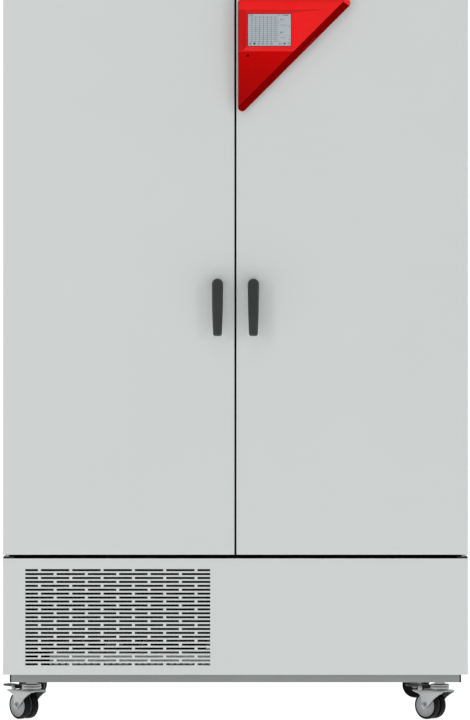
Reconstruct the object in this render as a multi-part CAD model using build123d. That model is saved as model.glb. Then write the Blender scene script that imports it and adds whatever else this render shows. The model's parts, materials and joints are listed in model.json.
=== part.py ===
from build123d import *
import math
import os

os.makedirs("parts", exist_ok=True)

# ---------------------------------------------------------------------------
# Plant growth chamber, two outer doors, free standing on four twin castors.
# Millimetres. X to the right seen from the front, Y to the back, Z up, floor
# at Z = 0. Everything below is written about the middle of the cabinet and
# moved back by SHIFT_Y at the end, so that the origin is under the middle of
# the whole outline.
# ---------------------------------------------------------------------------
SHIFT_Y = 24.0

# overall
DOOR_HALF = 627.5        # half the width over both doors
HOUSE_HALF = 622.5       # half the width of the housing
SHEET = 2.0
SKIN = 1.5
Y_FRONT = -445.0         # front face of doors and lower panel
Y_DOOR_BACK = -383.0     # back of the doors' inner panels
Y_FRAME = -373.0         # front plane of the housing
Y_REAR = 445.0           # back plane of the housing
Z_BASE = 109.0           # underside of the chassis
Z_PANEL = 132.0          # lower edge of the lower front panel
Z_PANEL_TOP = 446.0
Z_DOOR = 455.5
Z_DOOR_TOP = 1999.0
Z_ROOF = 2001.0
Z_TOP = 2005.0

# chamber
CAV_HALF = 486.5
CAV_Z0, CAV_Z1 = 530.0, 1780.0
Y_BULK = -361.0          # back of the front frame, front of the liner
Y_CAV_BACK = 298.0
Y_BAFFLE = 230.0
Y_INSUL_BACK = 360.0

# doors
GAP_HALF = 2.0           # half the gap between the two doors
HINGE_X, HINGE_Y = 615.5, -430.0
PIN_R = 5.0
FIT = 0.05               # radial clearance of a running fit

# handles
HANDLE_X, HANDLE_Z = 48.3, 1185.3
HANDLE_END_Z = 1045.8
HANDLE_TOP_R = 15.1
HANDLE_END_HALF = 12.0
Y_LEVER0, Y_LEVER1 = -493.0, -476.0

# glass inner doors
GLASS_PIVOT_X, GLASS_Y = 478.0, -349.0
GLASS_T = 6.0

# grille in the lower panel
SLOT_H = 5.8
SLOT_PITCH_Z = 10.583
SLOT_ROWS = 25
SLOT_Z_TOP = 414.4
SLOT_L = 76.5
SLOT_PITCH_X = 84.5
SLOT_HALF_L = 34.25
GRILLE_X0 = -567.1

# castors
WHEEL_R, WHEEL_W, WHEEL_GAP_HALF = 37.5, 20.0, 3.3
TRAIL = 33.0
HEAD_TOP = 97.0          # top of the swivel head
BRIDGE_Z = 77.0          # underside of the fork's bridge
CASTORS = {
    "fl": (-557.0, -330.0, -0.667, 0.745),
    "fr": (558.0, -330.0, -0.744, 0.668),
    "rl": (-557.0, 300.0, -0.985, 0.174),
    "rr": (558.0, 300.0, -0.985, 0.174),
}

# side access port
PORT_Y, PORT_Z, PORT_R = -240.0, 1357.0, 16.0

# controller on the right door: right triangle, right angle at the top left
TRI_X, TRI_Z = 7.1, 1951.8
TRI_LEG = 315.2
TRI_R, TRI_R_LOW = 9.0, 11.0
TRI_DEPTH = 42.0
BEVEL_D, BEVEL_Y = 25.0, 30.0   # bevel along the hypotenuse: in the face, in depth
DISP = (34.0, 149.1, 1825.8, 1911.2)


def bx(x0, x1, y0, y1, z0, z1):
    return Pos((x0 + x1) / 2, (y0 + y1) / 2, (z0 + z1) / 2) * Box(
        abs(x1 - x0), abs(y1 - y0), abs(z1 - z0)
    )


def cz(x, y, z0, z1, r):
    return Pos(x, y, (z0 + z1) / 2) * Cylinder(r, z1 - z0)


def cy(x, z, y0, y1, r):
    return Pos(x, (y0 + y1) / 2, z) * Rot(90, 0, 0) * Cylinder(r, y1 - y0)


def cx(y, z, x0, x1, r):
    return Pos((x0 + x1) / 2, y, z) * Rot(0, 90, 0) * Cylinder(r, x1 - x0)


def front_plane(y):
    """Plane across Y at y: local x is X, local y is Z, extrusion goes to -Y."""
    return Plane(origin=(0, y, 0), x_dir=(1, 0, 0), z_dir=(0, -1, 0))


def slab(sketch, y0, y1):
    return extrude(front_plane(y1) * sketch, amount=y1 - y0)


def poly(points):
    return make_face(Polyline(*points, close=True))


def fuse(first, *rest):
    out = first
    for r in rest:
        out = out + r
    return out


def save(name, *shapes):
    solids = []
    for s in shapes:
        for t in s if isinstance(s, (list, tuple)) else [s]:
            solids.extend(t.solids())
    moved = [s.moved(Location((0, SHIFT_Y, 0))) for s in solids]
    body = moved[0] if len(moved) == 1 else Compound(moved)
    export_step(body, f"parts/{name}.step")
    print(f"{name}: {len(moved)} solids")


# ---------------------------------------------------------------------------
# chassis, housing
# ---------------------------------------------------------------------------
BASE_HALF, BASE_Y0, BASE_Y1 = 611.0, -417.0, 430.0
base = bx(-BASE_HALF, BASE_HALF, BASE_Y0, BASE_Y1, Z_PANEL - 4, Z_PANEL)
base += bx(-BASE_HALF, BASE_HALF, BASE_Y0, BASE_Y0 + 3, Z_BASE, Z_PANEL)
base += bx(-BASE_HALF, BASE_HALF, BASE_Y1 - 3, BASE_Y1, Z_BASE, Z_PANEL)
for s in (-1, 1):
    base += bx(s * BASE_HALF, s * (BASE_HALF - 4.5), BASE_Y0, BASE_Y1, Z_BASE, Z_PANEL)
    for y0, y1 in ((Y_FRAME, Y_FRAME + 30), (400.0, 430.0)):
        base += bx(s * 590.5, s * 620.5, y0, y1, Z_PANEL, 444.0)
base += bx(-620.5, 620.5, Y_FRAME, 430.0, 444.0, Z_PANEL_TOP)
base += bx(-590.5, 590.5, Y_FRAME, Y_FRAME + 20, 420.0, 444.0)
for x, y, ux, uy in CASTORS.values():
    base += bx(x - 45, x + 45, y - 45, y + 45, Z_BASE, Z_PANEL - 4)
    base -= cz(x, y, Z_BASE - 1, Z_PANEL + 1, 6.0 + FIT)
DRAIN_X, DRAIN_Y, DRAIN_Z = 300.0, 265.0, 170.0
base -= cz(DRAIN_X, DRAIN_Y, 440, 450, 8.0)
PIPE_X = (-300.0, -260.0)
for px in PIPE_X:
    base -= cz(px, 330.0, 440, 450, 8.0)
# bracket that holds the drain outlet
base += bx(270, 330, 405, 408, Z_PANEL, 200)
base -= cy(DRAIN_X, DRAIN_Z, 404, 409, 7.0)
save("base_frame", base)

panels = []
vent = [
    Pos(0, 0, z) * Box(40, 150, 6) for z in range(180, 330, 16)
]
screw_z = [200.0, 420.0, 800.0, 1200.0, 1600.0, 1960.0]
for s in (-1, 1):
    p = bx(s * HOUSE_HALF, s * 620.5, Y_FRAME, 443, Z_PANEL, Z_DOOR_TOP)
    p += bx(s * HOUSE_HALF, s * 602.5, 441, 443, Z_PANEL, Z_DOOR_TOP)
    p -= [Pos(s * 621, 150, 0) * v for v in vent]
    p -= [cy(s * 612, z, 440, 444, 2.05) for z in screw_z]
    if s < 0:
        p -= cx(PORT_Y, PORT_Z, -625, -615, PORT_R + 0.2)
    panels.append(p)
save("side_panels", panels)

BRACKET_SCREWS = [(s * x, y) for s in (-1, 1) for x in (600.0,) for y in (-330.0, -300.0)]
roof = bx(-HOUSE_HALF, HOUSE_HALF, Y_FRAME, Y_REAR, Z_DOOR_TOP, Z_ROOF)
for s in (-1, 1):
    roof -= bx(s * 589, s * 624, Y_FRAME - 1, -289, 2000.2, 2002)
roof -= [cz(x, y, 1998, 2002, 2.05) for x, y in BRACKET_SCREWS]
save("roof_panel", roof)

rear = bx(-HOUSE_HALF, HOUSE_HALF, 443, Y_REAR, Z_PANEL, Z_DOOR_TOP)
slots = []
for i in range(14):
    for c in range(3):
        slots.append(bx(-560 + c * 180, -400 + c * 180, 440, 448, 180 + i * 16, 186 + i * 16))
rear -= slots
rear -= bx(404, 476, 440, 448, 194, 236)           # power inlet
rear -= bx(270, 330, 440, 448, 140, 200)           # way to the drain outlet
REAR_SCREWS = [(s * 612.0, z) for s in (-1, 1) for z in screw_z]
rear -= [cy(x, z, 440, 448, 2.05) for x, z in REAR_SCREWS]
save("rear_panel", rear)

# ---------------------------------------------------------------------------
# front frame, liner, insulation
# ---------------------------------------------------------------------------
frame = bx(-620.5, 620.5, Y_FRAME, Y_BULK, Z_PANEL_TOP, Z_DOOR_TOP)
for s in (-1, 1):
    frame -= bx(s * 25, s * CAV_HALF, Y_FRAME - 1, Y_BULK + 1, CAV_Z0, CAV_Z1)
    # keeper slot for the latch pawl, behind a 2 mm lip, open to the side and back
    frame -= bx(s * 5, s * 26, Y_FRAME + 2, Y_BULK + 1, HANDLE_Z - 15, HANDLE_Z + 40)
save("door_frame", frame)

FAN_Z = 1480.0
liner = bx(-488.5, 488.5, Y_BULK, 300, 528, 1782)
liner += bx(-503.5, 503.5, Y_BULK, Y_BULK + 2, 513, 1797)
liner -= bx(-CAV_HALF, CAV_HALF, Y_BULK - 1, Y_CAV_BACK, CAV_Z0, CAV_Z1)
for s in (-1, 1):
    liner -= cz(s * GLASS_PIVOT_X, GLASS_Y, 500, 1800, 4.0 + FIT)
liner -= cx(PORT_Y, PORT_Z, -495, -480, PORT_R + 0.2)
liner -= cy(0, FAN_Z, 295, 305, 6.0)
liner -= cz(DRAIN_X, DRAIN_Y, 520, 535, 7.0)
for px in PIPE_X:
    liner -= cy(px, 600.0, 295, 305, 6.0)
save("chamber_liner", liner)

insul = bx(-620.5, 620.5, Y_BULK, Y_INSUL_BACK, Z_PANEL_TOP, Z_DOOR_TOP)
insul -= bx(-488.5, 488.5, Y_BULK - 1, 300, 528, 1782)
insul -= bx(-503.5, 503.5, Y_BULK - 1, Y_BULK + 2, 513, 1797)
insul -= cx(PORT_Y, PORT_Z, -625, -480, PORT_R + 0.2)
insul -= cy(0, FAN_Z, 295, Y_INSUL_BACK + 1, 47.0)
insul -= cz(DRAIN_X, DRAIN_Y, 440, 530, 8.0)
for px in PIPE_X:
    insul -= bx(px - 8, px + 8, 295, Y_INSUL_BACK + 1, 440, 610)
for s in (-1, 1):
    insul -= cz(s * GLASS_PIVOT_X, GLASS_Y, 515, 1795, 5.0)
save("insulation_block", insul)

# ---------------------------------------------------------------------------
# air baffle with its slots, and the stand-offs that hold it off the rear wall
# ---------------------------------------------------------------------------
def slot_grid(xs, zs, w, h):
    return Sketch() + [Pos(x, z) * Rectangle(w, h) for x in xs for z in zs]


baffle_face = Pos(0, 1155) * Rectangle(968, 1230)
baffle_face -= slot_grid([-440 + 80 * i for i in range(12)], [580 + 34 * i for i in range(35)], 56, 9)
baffle = slab(baffle_face, Y_BAFFLE, Y_BAFFLE + 2)
for x in (-470, 0, 470):
    for z in (560, 1155, 1750):
        if x == 0:
            continue
        baffle += cy(x, z, Y_BAFFLE + 2, Y_CAV_BACK, 6.0)
save("air_baffle", baffle)

# ---------------------------------------------------------------------------
# lower front panel: folded pan with the slotted grille in its left half
# ---------------------------------------------------------------------------
face = Pos(0, (Z_PANEL + Z_PANEL_TOP) / 2) * Rectangle(2 * DOOR_HALF, Z_PANEL_TOP - Z_PANEL)
cuts = []
for r in range(SLOT_ROWS):
    z = SLOT_Z_TOP - r * SLOT_PITCH_Z
    x = GRILLE_X0
    lengths = [SLOT_HALF_L] + [SLOT_L] * 5 + [SLOT_HALF_L] if r % 2 == 0 else [SLOT_L] * 6
    for n in lengths:
        cuts.append(Pos(x + n / 2, z) * Rectangle(n, SLOT_H))
        x += n + 8.0
face -= cuts
panel = slab(face, Y_FRONT, Y_FRONT + SKIN)
for s in (-1, 1):
    panel += bx(s * DOOR_HALF, s * (DOOR_HALF - SKIN), Y_FRONT, Y_FRAME, Z_PANEL, Z_PANEL_TOP)
    panel += bx(s * DOOR_HALF, s * 600, Y_FRAME - SKIN, Y_FRAME, Z_PANEL, Z_PANEL_TOP)
panel += bx(-DOOR_HALF, DOOR_HALF, Y_FRONT, Y_FRAME, Z_PANEL, Z_PANEL + SKIN)
panel += bx(-DOOR_HALF, DOOR_HALF, Y_FRONT, Y_FRAME, Z_PANEL_TOP - SKIN, Z_PANEL_TOP)
panel += bx(-DOOR_HALF, DOOR_HALF, Y_FRAME - SKIN, Y_FRAME, 424, Z_PANEL_TOP)
save("lower_front_panel", panel)

rail = bx(-502, -62, -428, -426, Z_PANEL + SKIN, 190)
rail += bx(-502, -62, -428, -400, Z_PANEL + SKIN, Z_PANEL + SKIN + 2)
rail -= [cy(-493 + 17.3 * i, 160.4, -430, -424, 3.0) for i in range(25)]
save("grille_rail", rail)

# ---------------------------------------------------------------------------
# inside the chamber: uprights, racks, light cassettes, tubes
# ---------------------------------------------------------------------------
RACK_Z = (600.0, 1190.0)
CASSETTE_Z = (1135.0, 1715.0)          # underside of each cassette's body
UPRIGHT_Y = (-300.0, 190.0)
uprights = []
for y in UPRIGHT_Y:
    for side in (-1, 0, 1):
        if side == 0:
            u = bx(-8, 8, y - 10, y + 10, CAV_Z0, CAV_Z1)
            for z in RACK_Z:
                u += bx(-24, 24, y - 8, y + 8, z - 8, z - 2)
            for z in CASSETTE_Z:
                u += bx(-24, 24, y - 8, y + 8, z - 6, z)
        else:
            u = bx(side * 480, side * CAV_HALF, y - 10, y + 10, CAV_Z0, CAV_Z1)
            for z in RACK_Z:
                u += bx(side * 466, side * 481, y - 8, y + 8, z - 8, z - 2)
            for z in CASSETTE_Z:
                u += bx(side * 466, side * 481, y - 8, y + 8, z - 6, z)
        uprights.append(u)
save("rack_uprights", uprights)

racks = []
for s in (-1, 1):
    for z in RACK_Z:
        x0, x1, y0, y1 = 12.0, 476.0, -330.0, 222.0
        f = Pos(s * (x0 + x1) / 2, (y0 + y1) / 2) * Rectangle(x1 - x0, y1 - y0)
        nx, ny = 12, 14
        px_, py_ = (x1 - x0 - 12) / nx, (y1 - y0 - 12) / ny
        f -= [
            Pos(s * (x0 + 6 + px_ * (i + 0.5)), y0 + 6 + py_ * (j + 0.5)) * Rectangle(px_ - 5, py_ - 5)
            for i in range(nx)
            for j in range(ny)
        ]
        g = extrude(Pos(0, 0, z - 2) * f, amount=5.0)
        racks.append(g)
save("wire_racks", racks)

cassettes, tubes = [], []
for s in (-1, 1):
    for z in CASSETTE_Z:
        c = bx(s * 14, s * 478, -320, 215, z, z + 22)
        c -= bx(s * 17, s * 475, -317, 212, z - 1, z + 3)
        for k in range(5):
            y = -270 + k * 110
            for xa, xb in ((18, 26), (466, 474)):
                c += bx(s * xa, s * xb, y - 9, y + 9, z - 22, z + 3.5)
            tubes.append(cx(y, z - 12, min(s * 26, s * 466), max(s * 26, s * 466), 8.0))
        cassettes.append(c)
save("light_cassettes", cassettes)
save("lamp_tubes", tubes)

# ---------------------------------------------------------------------------
# machine bay
# ---------------------------------------------------------------------------
comp = cz(350, 20, 152, 370, 95.0)
comp = fillet(comp.edges().filter_by(GeomType.CIRCLE), 34.0)
comp += bx(250, 450, -80, 120, 144, 156)
for sx in (-1, 1):
    for sy in (-1, 1):
        comp += cz(350 + sx * 85, 20 + sy * 85, Z_PANEL, 146, 12.0)
comp += bx(395, 455, -5, 45, 230, 300)
save("compressor", comp)

fins = []
core = bx(-590, -586, -330, -280, Z_PANEL, 412) + bx(-84, -80, -330, -280, Z_PANEL, 412)
for i in range(8):
    for yy in (-318, -292):
        core += cx(yy, 160 + i * 32, -587, -83, 5.0)
for i in range(42):
    x = -574 + i * 11.6
    core += bx(x, x + 1.2, -328, -282, 140, 404)
CFAN_X, CFAN_Z, CFAN_R = -335.0, 275.0, 105.0
shroud = bx(-590, -80, -262, -258, Z_PANEL, 412) - cy(CFAN_X, CFAN_Z, -265, -255, CFAN_R + 8)
for a in (0, 120, 240):
    arm = Pos(CFAN_X, -205, CFAN_Z) * Rot(0, a, 0) * (Pos(0, 0, 62) * Box(10, 6, 124))
    shroud += arm
    shroud += Pos(CFAN_X, -231.5, CFAN_Z) * Rot(0, a, 0) * (Pos(0, 0, 120) * Box(10, 59, 8))
shroud += cy(CFAN_X, CFAN_Z, -208, -160, 36.0)
shroud += cy(CFAN_X, CFAN_Z, -255, -205, 4.0)
save("condenser", core, shroud)


def rotor(x, z, y0, y1, r_out, r_hub, blades, pitch, chord):
    ym = (y0 + y1) / 2
    body = cy(x, z, y0, y1, r_hub)
    for k in range(blades):
        b = Pos(0, 0, (r_out + r_hub) / 2 - 2) * Rot(0, 0, pitch) * Box(chord, 2.0, r_out - r_hub + 4)
        body += Pos(x, ym, z) * Rot(0, 360.0 / blades * k, 0) * b
    body = body & cy(x, z, y0, y1, r_out)
    return body - cy(x, z, y0 - 5, y1 + 5, 4.0 + FIT)


save("condenser_fan", rotor(CFAN_X, CFAN_Z, -252, -216, CFAN_R, 28, 5, 32, 62))
save("circulation_fan", rotor(0, FAN_Z, 242, 284, 125, 34, 6, 30, 74))
motor = cy(0, FAN_Z, 300, 352, 46.0) + cy(0, FAN_Z, 240, 302, 4.0)
save("circulation_fan_motor", motor)


def pipe(points, r):
    out = None
    for a, b in zip(points, points[1:]):
        va, vb = Vector(*a), Vector(*b)
        d = vb - va
        c = Solid.make_cylinder(r, d.length, Plane(origin=va, z_dir=d))
        out = Part() + c if out is None else out + c
    for q in points[1:-1]:
        out += Pos(*q) * Sphere(r)
    return out


evap = bx(-430, 430, 238, 292, 560, 566) + bx(-430, 430, 238, 292, 754, 760)
for i in range(72):
    x = -424 + i * 11.8
    evap += bx(x, x + 1.2, 240, 290, 562, 758)
for i in range(6):
    for yy in (252, 278):
        evap += cx(yy, 585 + i * 30, -430, 430, 4.0)
evap += pipe([(-300, 292 - 20, 600), (-300, 330, 600), (-300, 330, 400), (-300, 200, 400), (350, 200, 400), (350, 200, 300), (350, 115.3, 300)], 4.0)
evap2 = pipe([(-260, 292 - 20, 600), (-260, 330, 600), (-260, 330, 380), (-260, -240, 380), (-70, -240, 380), (-70, -300, 380), (-79.8, -300, 380)], 4.0)
hot = pipe([(350, -75.3, 300), (350, -150, 300), (0, -150, 300), (0, -300, 250), (-79.8, -300, 250)], 4.0)
save("refrigerant_circuit", evap + evap2, hot)

ebox = bx(150, 550, 361, 430, 1100, 1500)
ebox = fillet(ebox.edges().filter_by(Axis.Y), 6.0)
save("electronics_box", ebox)

# ---------------------------------------------------------------------------
# hinge brackets with their pins, castor plates, port, inlet, drain, screws
# ---------------------------------------------------------------------------
brackets = []
for s in (-1, 1):
    low = bx(s * 598, s * 627.0, -441, Y_FRAME, 446.5, 450.5)
    low += bx(s * 598, s * 620.5, Y_FRAME - 3, Y_FRAME, 446.5, 460.5)
    low += cz(s * HINGE_X, HINGE_Y, 450.5, 455.2, 6.2)
    low += cz(s * HINGE_X, HINGE_Y, 450.5, 478, PIN_R)
    brackets.append(low)
    top = bx(s * 590, s * 627.0, -441, -290, 2000.2, Z_TOP)
    top += cz(s * HINGE_X, HINGE_Y, 1999.3, Z_ROOF + 1, 7.0)
    top += cz(s * HINGE_X, HINGE_Y, 1975, Z_ROOF + 1, PIN_R)
    top -= [cz(x, y, 1999, 2006, 2.05) for x, y in BRACKET_SCREWS]
    brackets.append(top)
save("hinge_brackets", brackets)

plates = []
for x, y, ux, uy in CASTORS.values():
    c = cz(x, y, HEAD_TOP + 0.3, Z_BASE, 14.0)
    c += cz(x, y, Z_BASE, Z_PANEL - 1, 6.0)
    c += cz(x, y, BRIDGE_Z - 0.4, HEAD_TOP + 1, 6.0)
    c += cz(x, y, BRIDGE_Z - 3.6, BRIDGE_Z - 0.3, 9.0)
    plates.append(c)
save("castor_plates", plates)

sleeve = cx(PORT_Y, PORT_Z, -625.5, -484.0, PORT_R)
sleeve += cx(PORT_Y, PORT_Z, -625.5, -622.5, 23.0)
sleeve -= cx(PORT_Y, PORT_Z, -630, -480, 12.5)
save("access_port_sleeve", sleeve)
plug = cx(PORT_Y, PORT_Z, -626.5, -590, 12.42)
plug += cx(PORT_Y, PORT_Z, -632.0, -625.8, 20.0)
plug += cx(PORT_Y, PORT_Z, -640.0, -631.0, 8.0)
save("access_port_plug", plug)

inlet = bx(404, 476, 412, 445, 194, 236) + bx(398, 482, 445, 447, 188, 242)
inlet -= bx(409, 437, 424, 448, 203, 227)
inlet -= bx(446, 472, 428, 448, 199, 231)
for dx, dz in ((-7, 3), (7, 3), (0, -4)):
    inlet += bx(423 + dx - 1, 423 + dx + 1, 423, 441, 215 + dz - 2, 215 + dz + 2)
SW_Y, SW_Z = 438.0, 215.0
inlet += cx(SW_Y, SW_Z, 445.0, 448.0, 2.0) + cx(SW_Y, SW_Z, 470.0, 473.0, 2.0)
save("power_inlet", inlet)
prof = [(-4, -9), (-4, 9), (7, 13.5), (4.5, 0), (7, -13.5)]
c7, s7 = math.cos(math.radians(7)), math.sin(math.radians(7))
prof = [(SW_Y + a * c7 - b * s7, SW_Z + a * s7 + b * c7) for a, b in prof]
rocker = extrude(
    Plane(origin=(447.0, 0, 0), x_dir=(0, 1, 0), z_dir=(1, 0, 0)) * poly(prof), amount=24.0
)
rocker -= cx(SW_Y, SW_Z, 446, 448.5, 2.0 + FIT)
rocker -= cx(SW_Y, SW_Z, 469.5, 472, 2.0 + FIT)
save("main_switch", rocker)

drain = cz(DRAIN_X, DRAIN_Y, DRAIN_Z, 529.9, 6.5)
drain += cy(DRAIN_X, DRAIN_Z, DRAIN_Y, 440, 6.5) + Pos(DRAIN_X, DRAIN_Y, DRAIN_Z) * Sphere(6.5)
drain += cy(DRAIN_X, DRAIN_Z, 408, 415, 11.0)
drain -= cz(DRAIN_X, DRAIN_Y, DRAIN_Z, 532, 4.5)
drain -= cy(DRAIN_X, DRAIN_Z, DRAIN_Y, 441, 4.5)
save("drain_spigot", drain)

screws = []
for x, z in REAR_SCREWS:
    screws.append(cy(x, z, 438, 445, 2.0) + cy(x, z, 445, 447, 4.2))
for x, y in BRACKET_SCREWS:
    screws.append(cz(x, y, 1999.2, Z_TOP, 2.0) + (cz(x, y, Z_TOP - 1.6, Z_TOP, 2.0)))
save("cover_screws", screws)

# ---------------------------------------------------------------------------
# outer doors
# ---------------------------------------------------------------------------
for s, side in ((-1, "left"), (1, "right")):
    xa, xb = s * GAP_HALF, s * DOOR_HALF
    skin = bx(xa, xb, Y_FRONT, Y_DOOR_BACK - 2, Z_DOOR, Z_DOOR_TOP)
    skin -= bx(s * (GAP_HALF + SKIN), s * (DOOR_HALF - SKIN), Y_FRONT + SKIN, -380, Z_DOOR + SKIN, Z_DOOR_TOP - SKIN)
    # sockets for the hinge pins, folded into the pan
    skin += cz(s * HINGE_X, HINGE_Y, Z_DOOR, 481, 9.5) + cz(s * HINGE_X, HINGE_Y, 1972, Z_DOOR_TOP, 9.5)
    skin -= cz(s * HINGE_X, HINGE_Y, Z_DOOR - 1, 479, PIN_R + FIT)
    skin -= cz(s * HINGE_X, HINGE_Y, 1974, Z_DOOR_TOP + 1, PIN_R + FIT)
    skin -= cy(s * HANDLE_X, HANDLE_Z, -446, -443, 6.0)
    save(f"door_{side}_skin", skin)
    foam = bx(s * (GAP_HALF + SKIN), s * (DOOR_HALF - SKIN), Y_FRONT + SKIN, Y_DOOR_BACK - 2, Z_DOOR + SKIN, Z_DOOR_TOP - SKIN)
    foam -= cz(s * HINGE_X, HINGE_Y, Z_DOOR, 482, 9.6)
    foam -= cz(s * HINGE_X, HINGE_Y, 1971, Z_DOOR_TOP, 9.6)
    foam -= cy(s * HANDLE_X, HANDLE_Z, -446, -380, 7.0)
    save(f"door_{side}_foam", foam)
    inner = bx(xa, xb, Y_DOOR_BACK - 2, Y_DOOR_BACK, Z_DOOR, Z_DOOR_TOP)
    inner -= cy(s * HANDLE_X, HANDLE_Z, -390, -380, 6.0)
    save(f"door_{side}_liner", inner)
    gasket = bx(s * 6, s * 610, Y_DOOR_BACK, Y_FRAME - 0.4, 462, 1992)
    gasket -= bx(s * 22, s * 594, Y_DOOR_BACK - 1, Y_FRAME + 1, 478, 1976)
    save(f"door_{side}_gasket", gasket)

    # handle: rose on the door, lever with its boss, spindle with the pawl
    hx = s * HANDLE_X
    rose = cy(hx, HANDLE_Z, -450, Y_FRONT, 15.0) - cy(hx, HANDLE_Z, -452, -440, PIN_R + FIT)
    save(f"handle_{side}_rose", rose)
    ez = HANDLE_END_Z
    prof = poly([
        (-HANDLE_TOP_R, HANDLE_Z), (-HANDLE_TOP_R + 0.1, 1150.0), (-HANDLE_END_HALF, ez),
        (HANDLE_END_HALF, ez), (HANDLE_TOP_R - 0.1, 1150.0), (HANDLE_TOP_R, HANDLE_Z),
    ])
    prof = fillet(prof.vertices().filter_by(lambda v: v.Y < ez + 1), 6.0)
    prof += Pos(0, HANDLE_Z) * Circle(HANDLE_TOP_R)
    lever = Pos(hx, 0, 0) * slab(prof, Y_LEVER0, Y_LEVER1)
    lever = chamfer(lever.faces().sort_by(Axis.Y)[0].edges(), 4.0)
    lever += cy(hx, HANDLE_Z, Y_LEVER1 - 1, -450.3, 13.0)
    lever -= cy(hx, HANDLE_Z, -484, -440, PIN_R + 0.02)
    save(f"handle_{side}_lever", lever)
    spindle = cy(hx, HANDLE_Z, -484, -365, PIN_R)
    spindle += bx(hx - 8, hx + 8, -370, -365, HANDLE_Z, HANDLE_Z + 40)
    spindle += cy(hx, HANDLE_Z, -370, -365, 9.0)
    save(f"handle_{side}_spindle", spindle)

    # glass inner door with its pivots and knob
    pane = bx(s * 27, s * 484, GLASS_Y - GLASS_T / 2, GLASS_Y + GLASS_T / 2, 540, 1770)
    pane -= cy(s * 66, 1050, -355, -340, 4.0)
    for z0, z1 in ((539, 566), (1744, 1771)):
        pane -= bx(s * 466, s * 485, -355, -340, z0, z1)
    save(f"glass_door_{side}", pane)
    fit_ = []
    for z0, z1, p0, p1 in ((536.0, 566.0, 528.5, 537.0), (1744.0, 1774.0, 1773.0, 1781.5)):
        f = bx(s * 452, s * 484, GLASS_Y - 6, GLASS_Y + 6, z0, z1)
        f -= bx(s * 450, s * 466, GLASS_Y - 3, GLASS_Y + 3, z0 - 1 if z0 > 1000 else z0 + 4, z1 + 1 if z0 < 1000 else z1 - 4)
        f += cz(s * GLASS_PIVOT_X, GLASS_Y, p0, p1, 4.0)
        fit_.append(f)
    k = cy(s * 66, 1050, -370, -352, 9.0) + cy(s * 66, 1050, -353, -345, 3.95) + cy(s * 66, 1050, -346, -341, 8.0)
    fit_.append(k)
    save(f"glass_{side}_fittings", fit_)

# ---------------------------------------------------------------------------
# controller on the right door
# ---------------------------------------------------------------------------
YC0 = Y_FRONT - TRI_DEPTH
tri = poly([(TRI_X, TRI_Z), (TRI_X + TRI_LEG, TRI_Z), (TRI_X, TRI_Z - TRI_LEG)])
low_corner = tri.vertices().sort_by(Axis.Y)[0]
tri = fillet([v for v in tri.vertices() if v != low_corner], TRI_R)
tri = fillet(tri.vertices().sort_by(Axis.Y)[0], TRI_R_LOW)
ctrl = slab(tri, YC0, Y_FRONT)
# bevel along the hypotenuse: front face to the side
q = 1 / math.sqrt(2)
hyp = Plane(
    origin=(TRI_X + TRI_LEG / 2, Y_FRONT, TRI_Z - TRI_LEG / 2),
    x_dir=(q, 0, -q),
    z_dir=(q, 0, q),
)   # local x points out of the hypotenuse, local y = z_dir x x_dir
wy = hyp.y_dir.Y
BEV = 17.9
cutter = extrude(
    hyp * poly([(0.0, wy * -(TRI_DEPTH - BEVEL_Y)), (5.0, wy * -(TRI_DEPTH - BEVEL_Y)), (5.0, wy * -(TRI_DEPTH + 5)), (-BEV - 3.0, wy * -(TRI_DEPTH + 5.0)), (-BEV, wy * -TRI_DEPTH)]),
    amount=300, both=True,
)
ctrl -= cutter
# upper bevel under the header and the recess for the display
ctrl -= bx(DISP[0] - 2, DISP[1] + 2, YC0 - 1, YC0 + 8, DISP[2] - 2, DISP[3] + 2)
# hollow back
hollow = poly([(TRI_X + 6, TRI_Z - 6), (TRI_X + TRI_LEG - 55, TRI_Z - 6), (TRI_X + 6, TRI_Z - TRI_LEG + 55)])
ctrl -= slab(hollow, YC0 + 14, Y_FRONT + 1)
ctrl -= cy(32.9, 1799.3, YC0 - 1, YC0 + 3, 3.5)
# ears for the flap
tdir, sdir = Vector(q, 0, q), None
mdir = Vector(0.8586 * q, -0.5127, -0.8586 * q)
D0 = 13.2
ln = math.hypot(BEV, BEVEL_Y)
sdir = Vector(BEV / ln * q, BEVEL_Y / ln, -BEV / ln * q)
mdir = Vector(BEVEL_Y / ln * q, -BEV / ln, -BEVEL_Y / ln * q)
# centre of the flap: in the face it lies at D0 from the inner bevel line
fc_x, fc_z = 199.8, 1835.3
base_pt = Vector(TRI_X + TRI_LEG / 2, YC0, TRI_Z - TRI_LEG / 2) - Vector(q, 0, -q) * BEV
t0 = (Vector(fc_x, 0, fc_z) - Vector(base_pt.X, 0, base_pt.Z)).dot(tdir)
flap_o = base_pt + tdir * t0 + sdir * (D0 / BEV * ln)
FP = Plane(origin=flap_o, x_dir=tdir, z_dir=mdir)      # local y follows
fy = 1.0 if FP.y_dir.dot(sdir) > 0 else -1.0           # local y against the slope direction
PIV_S, PIV_H = 4.9, 2.4
FLAP_L, FLAP_W = 50.0, 12.0
for e in (-1, 1):
    ear = FP * (Pos(e * (FLAP_L / 2 + 1.8), fy * PIV_S, 1.4) * Box(2.8, 5.0, 4.8))
    pin_hole = FP * (Pos(e * (FLAP_L / 2 + 1.8), fy * PIV_S, PIV_H) * Rot(0, 90, 0) * Cylinder(1.0, 4.0))
    ctrl += ear
    ctrl -= pin_hole
save("controller_housing", ctrl)
flap = FP * (Pos(0, 0, 1.75) * Box(FLAP_L, FLAP_W, 2.5))
flap -= FP * (Pos(0, fy * FLAP_W / 2, 0.5) * Rot(45, 0, 0) * Box(FLAP_L + 2, 1.3, 1.3))
for e in (-1, 1):
    flap += FP * (Pos(e * (FLAP_L / 2 + 1.2), fy * PIV_S, PIV_H) * Rot(0, 90, 0) * Cylinder(0.95, 3.2))
save("controller_flap", flap)
piv = FP.origin + FP.y_dir * (fy * PIV_S) + FP.z_dir * PIV_H
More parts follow.
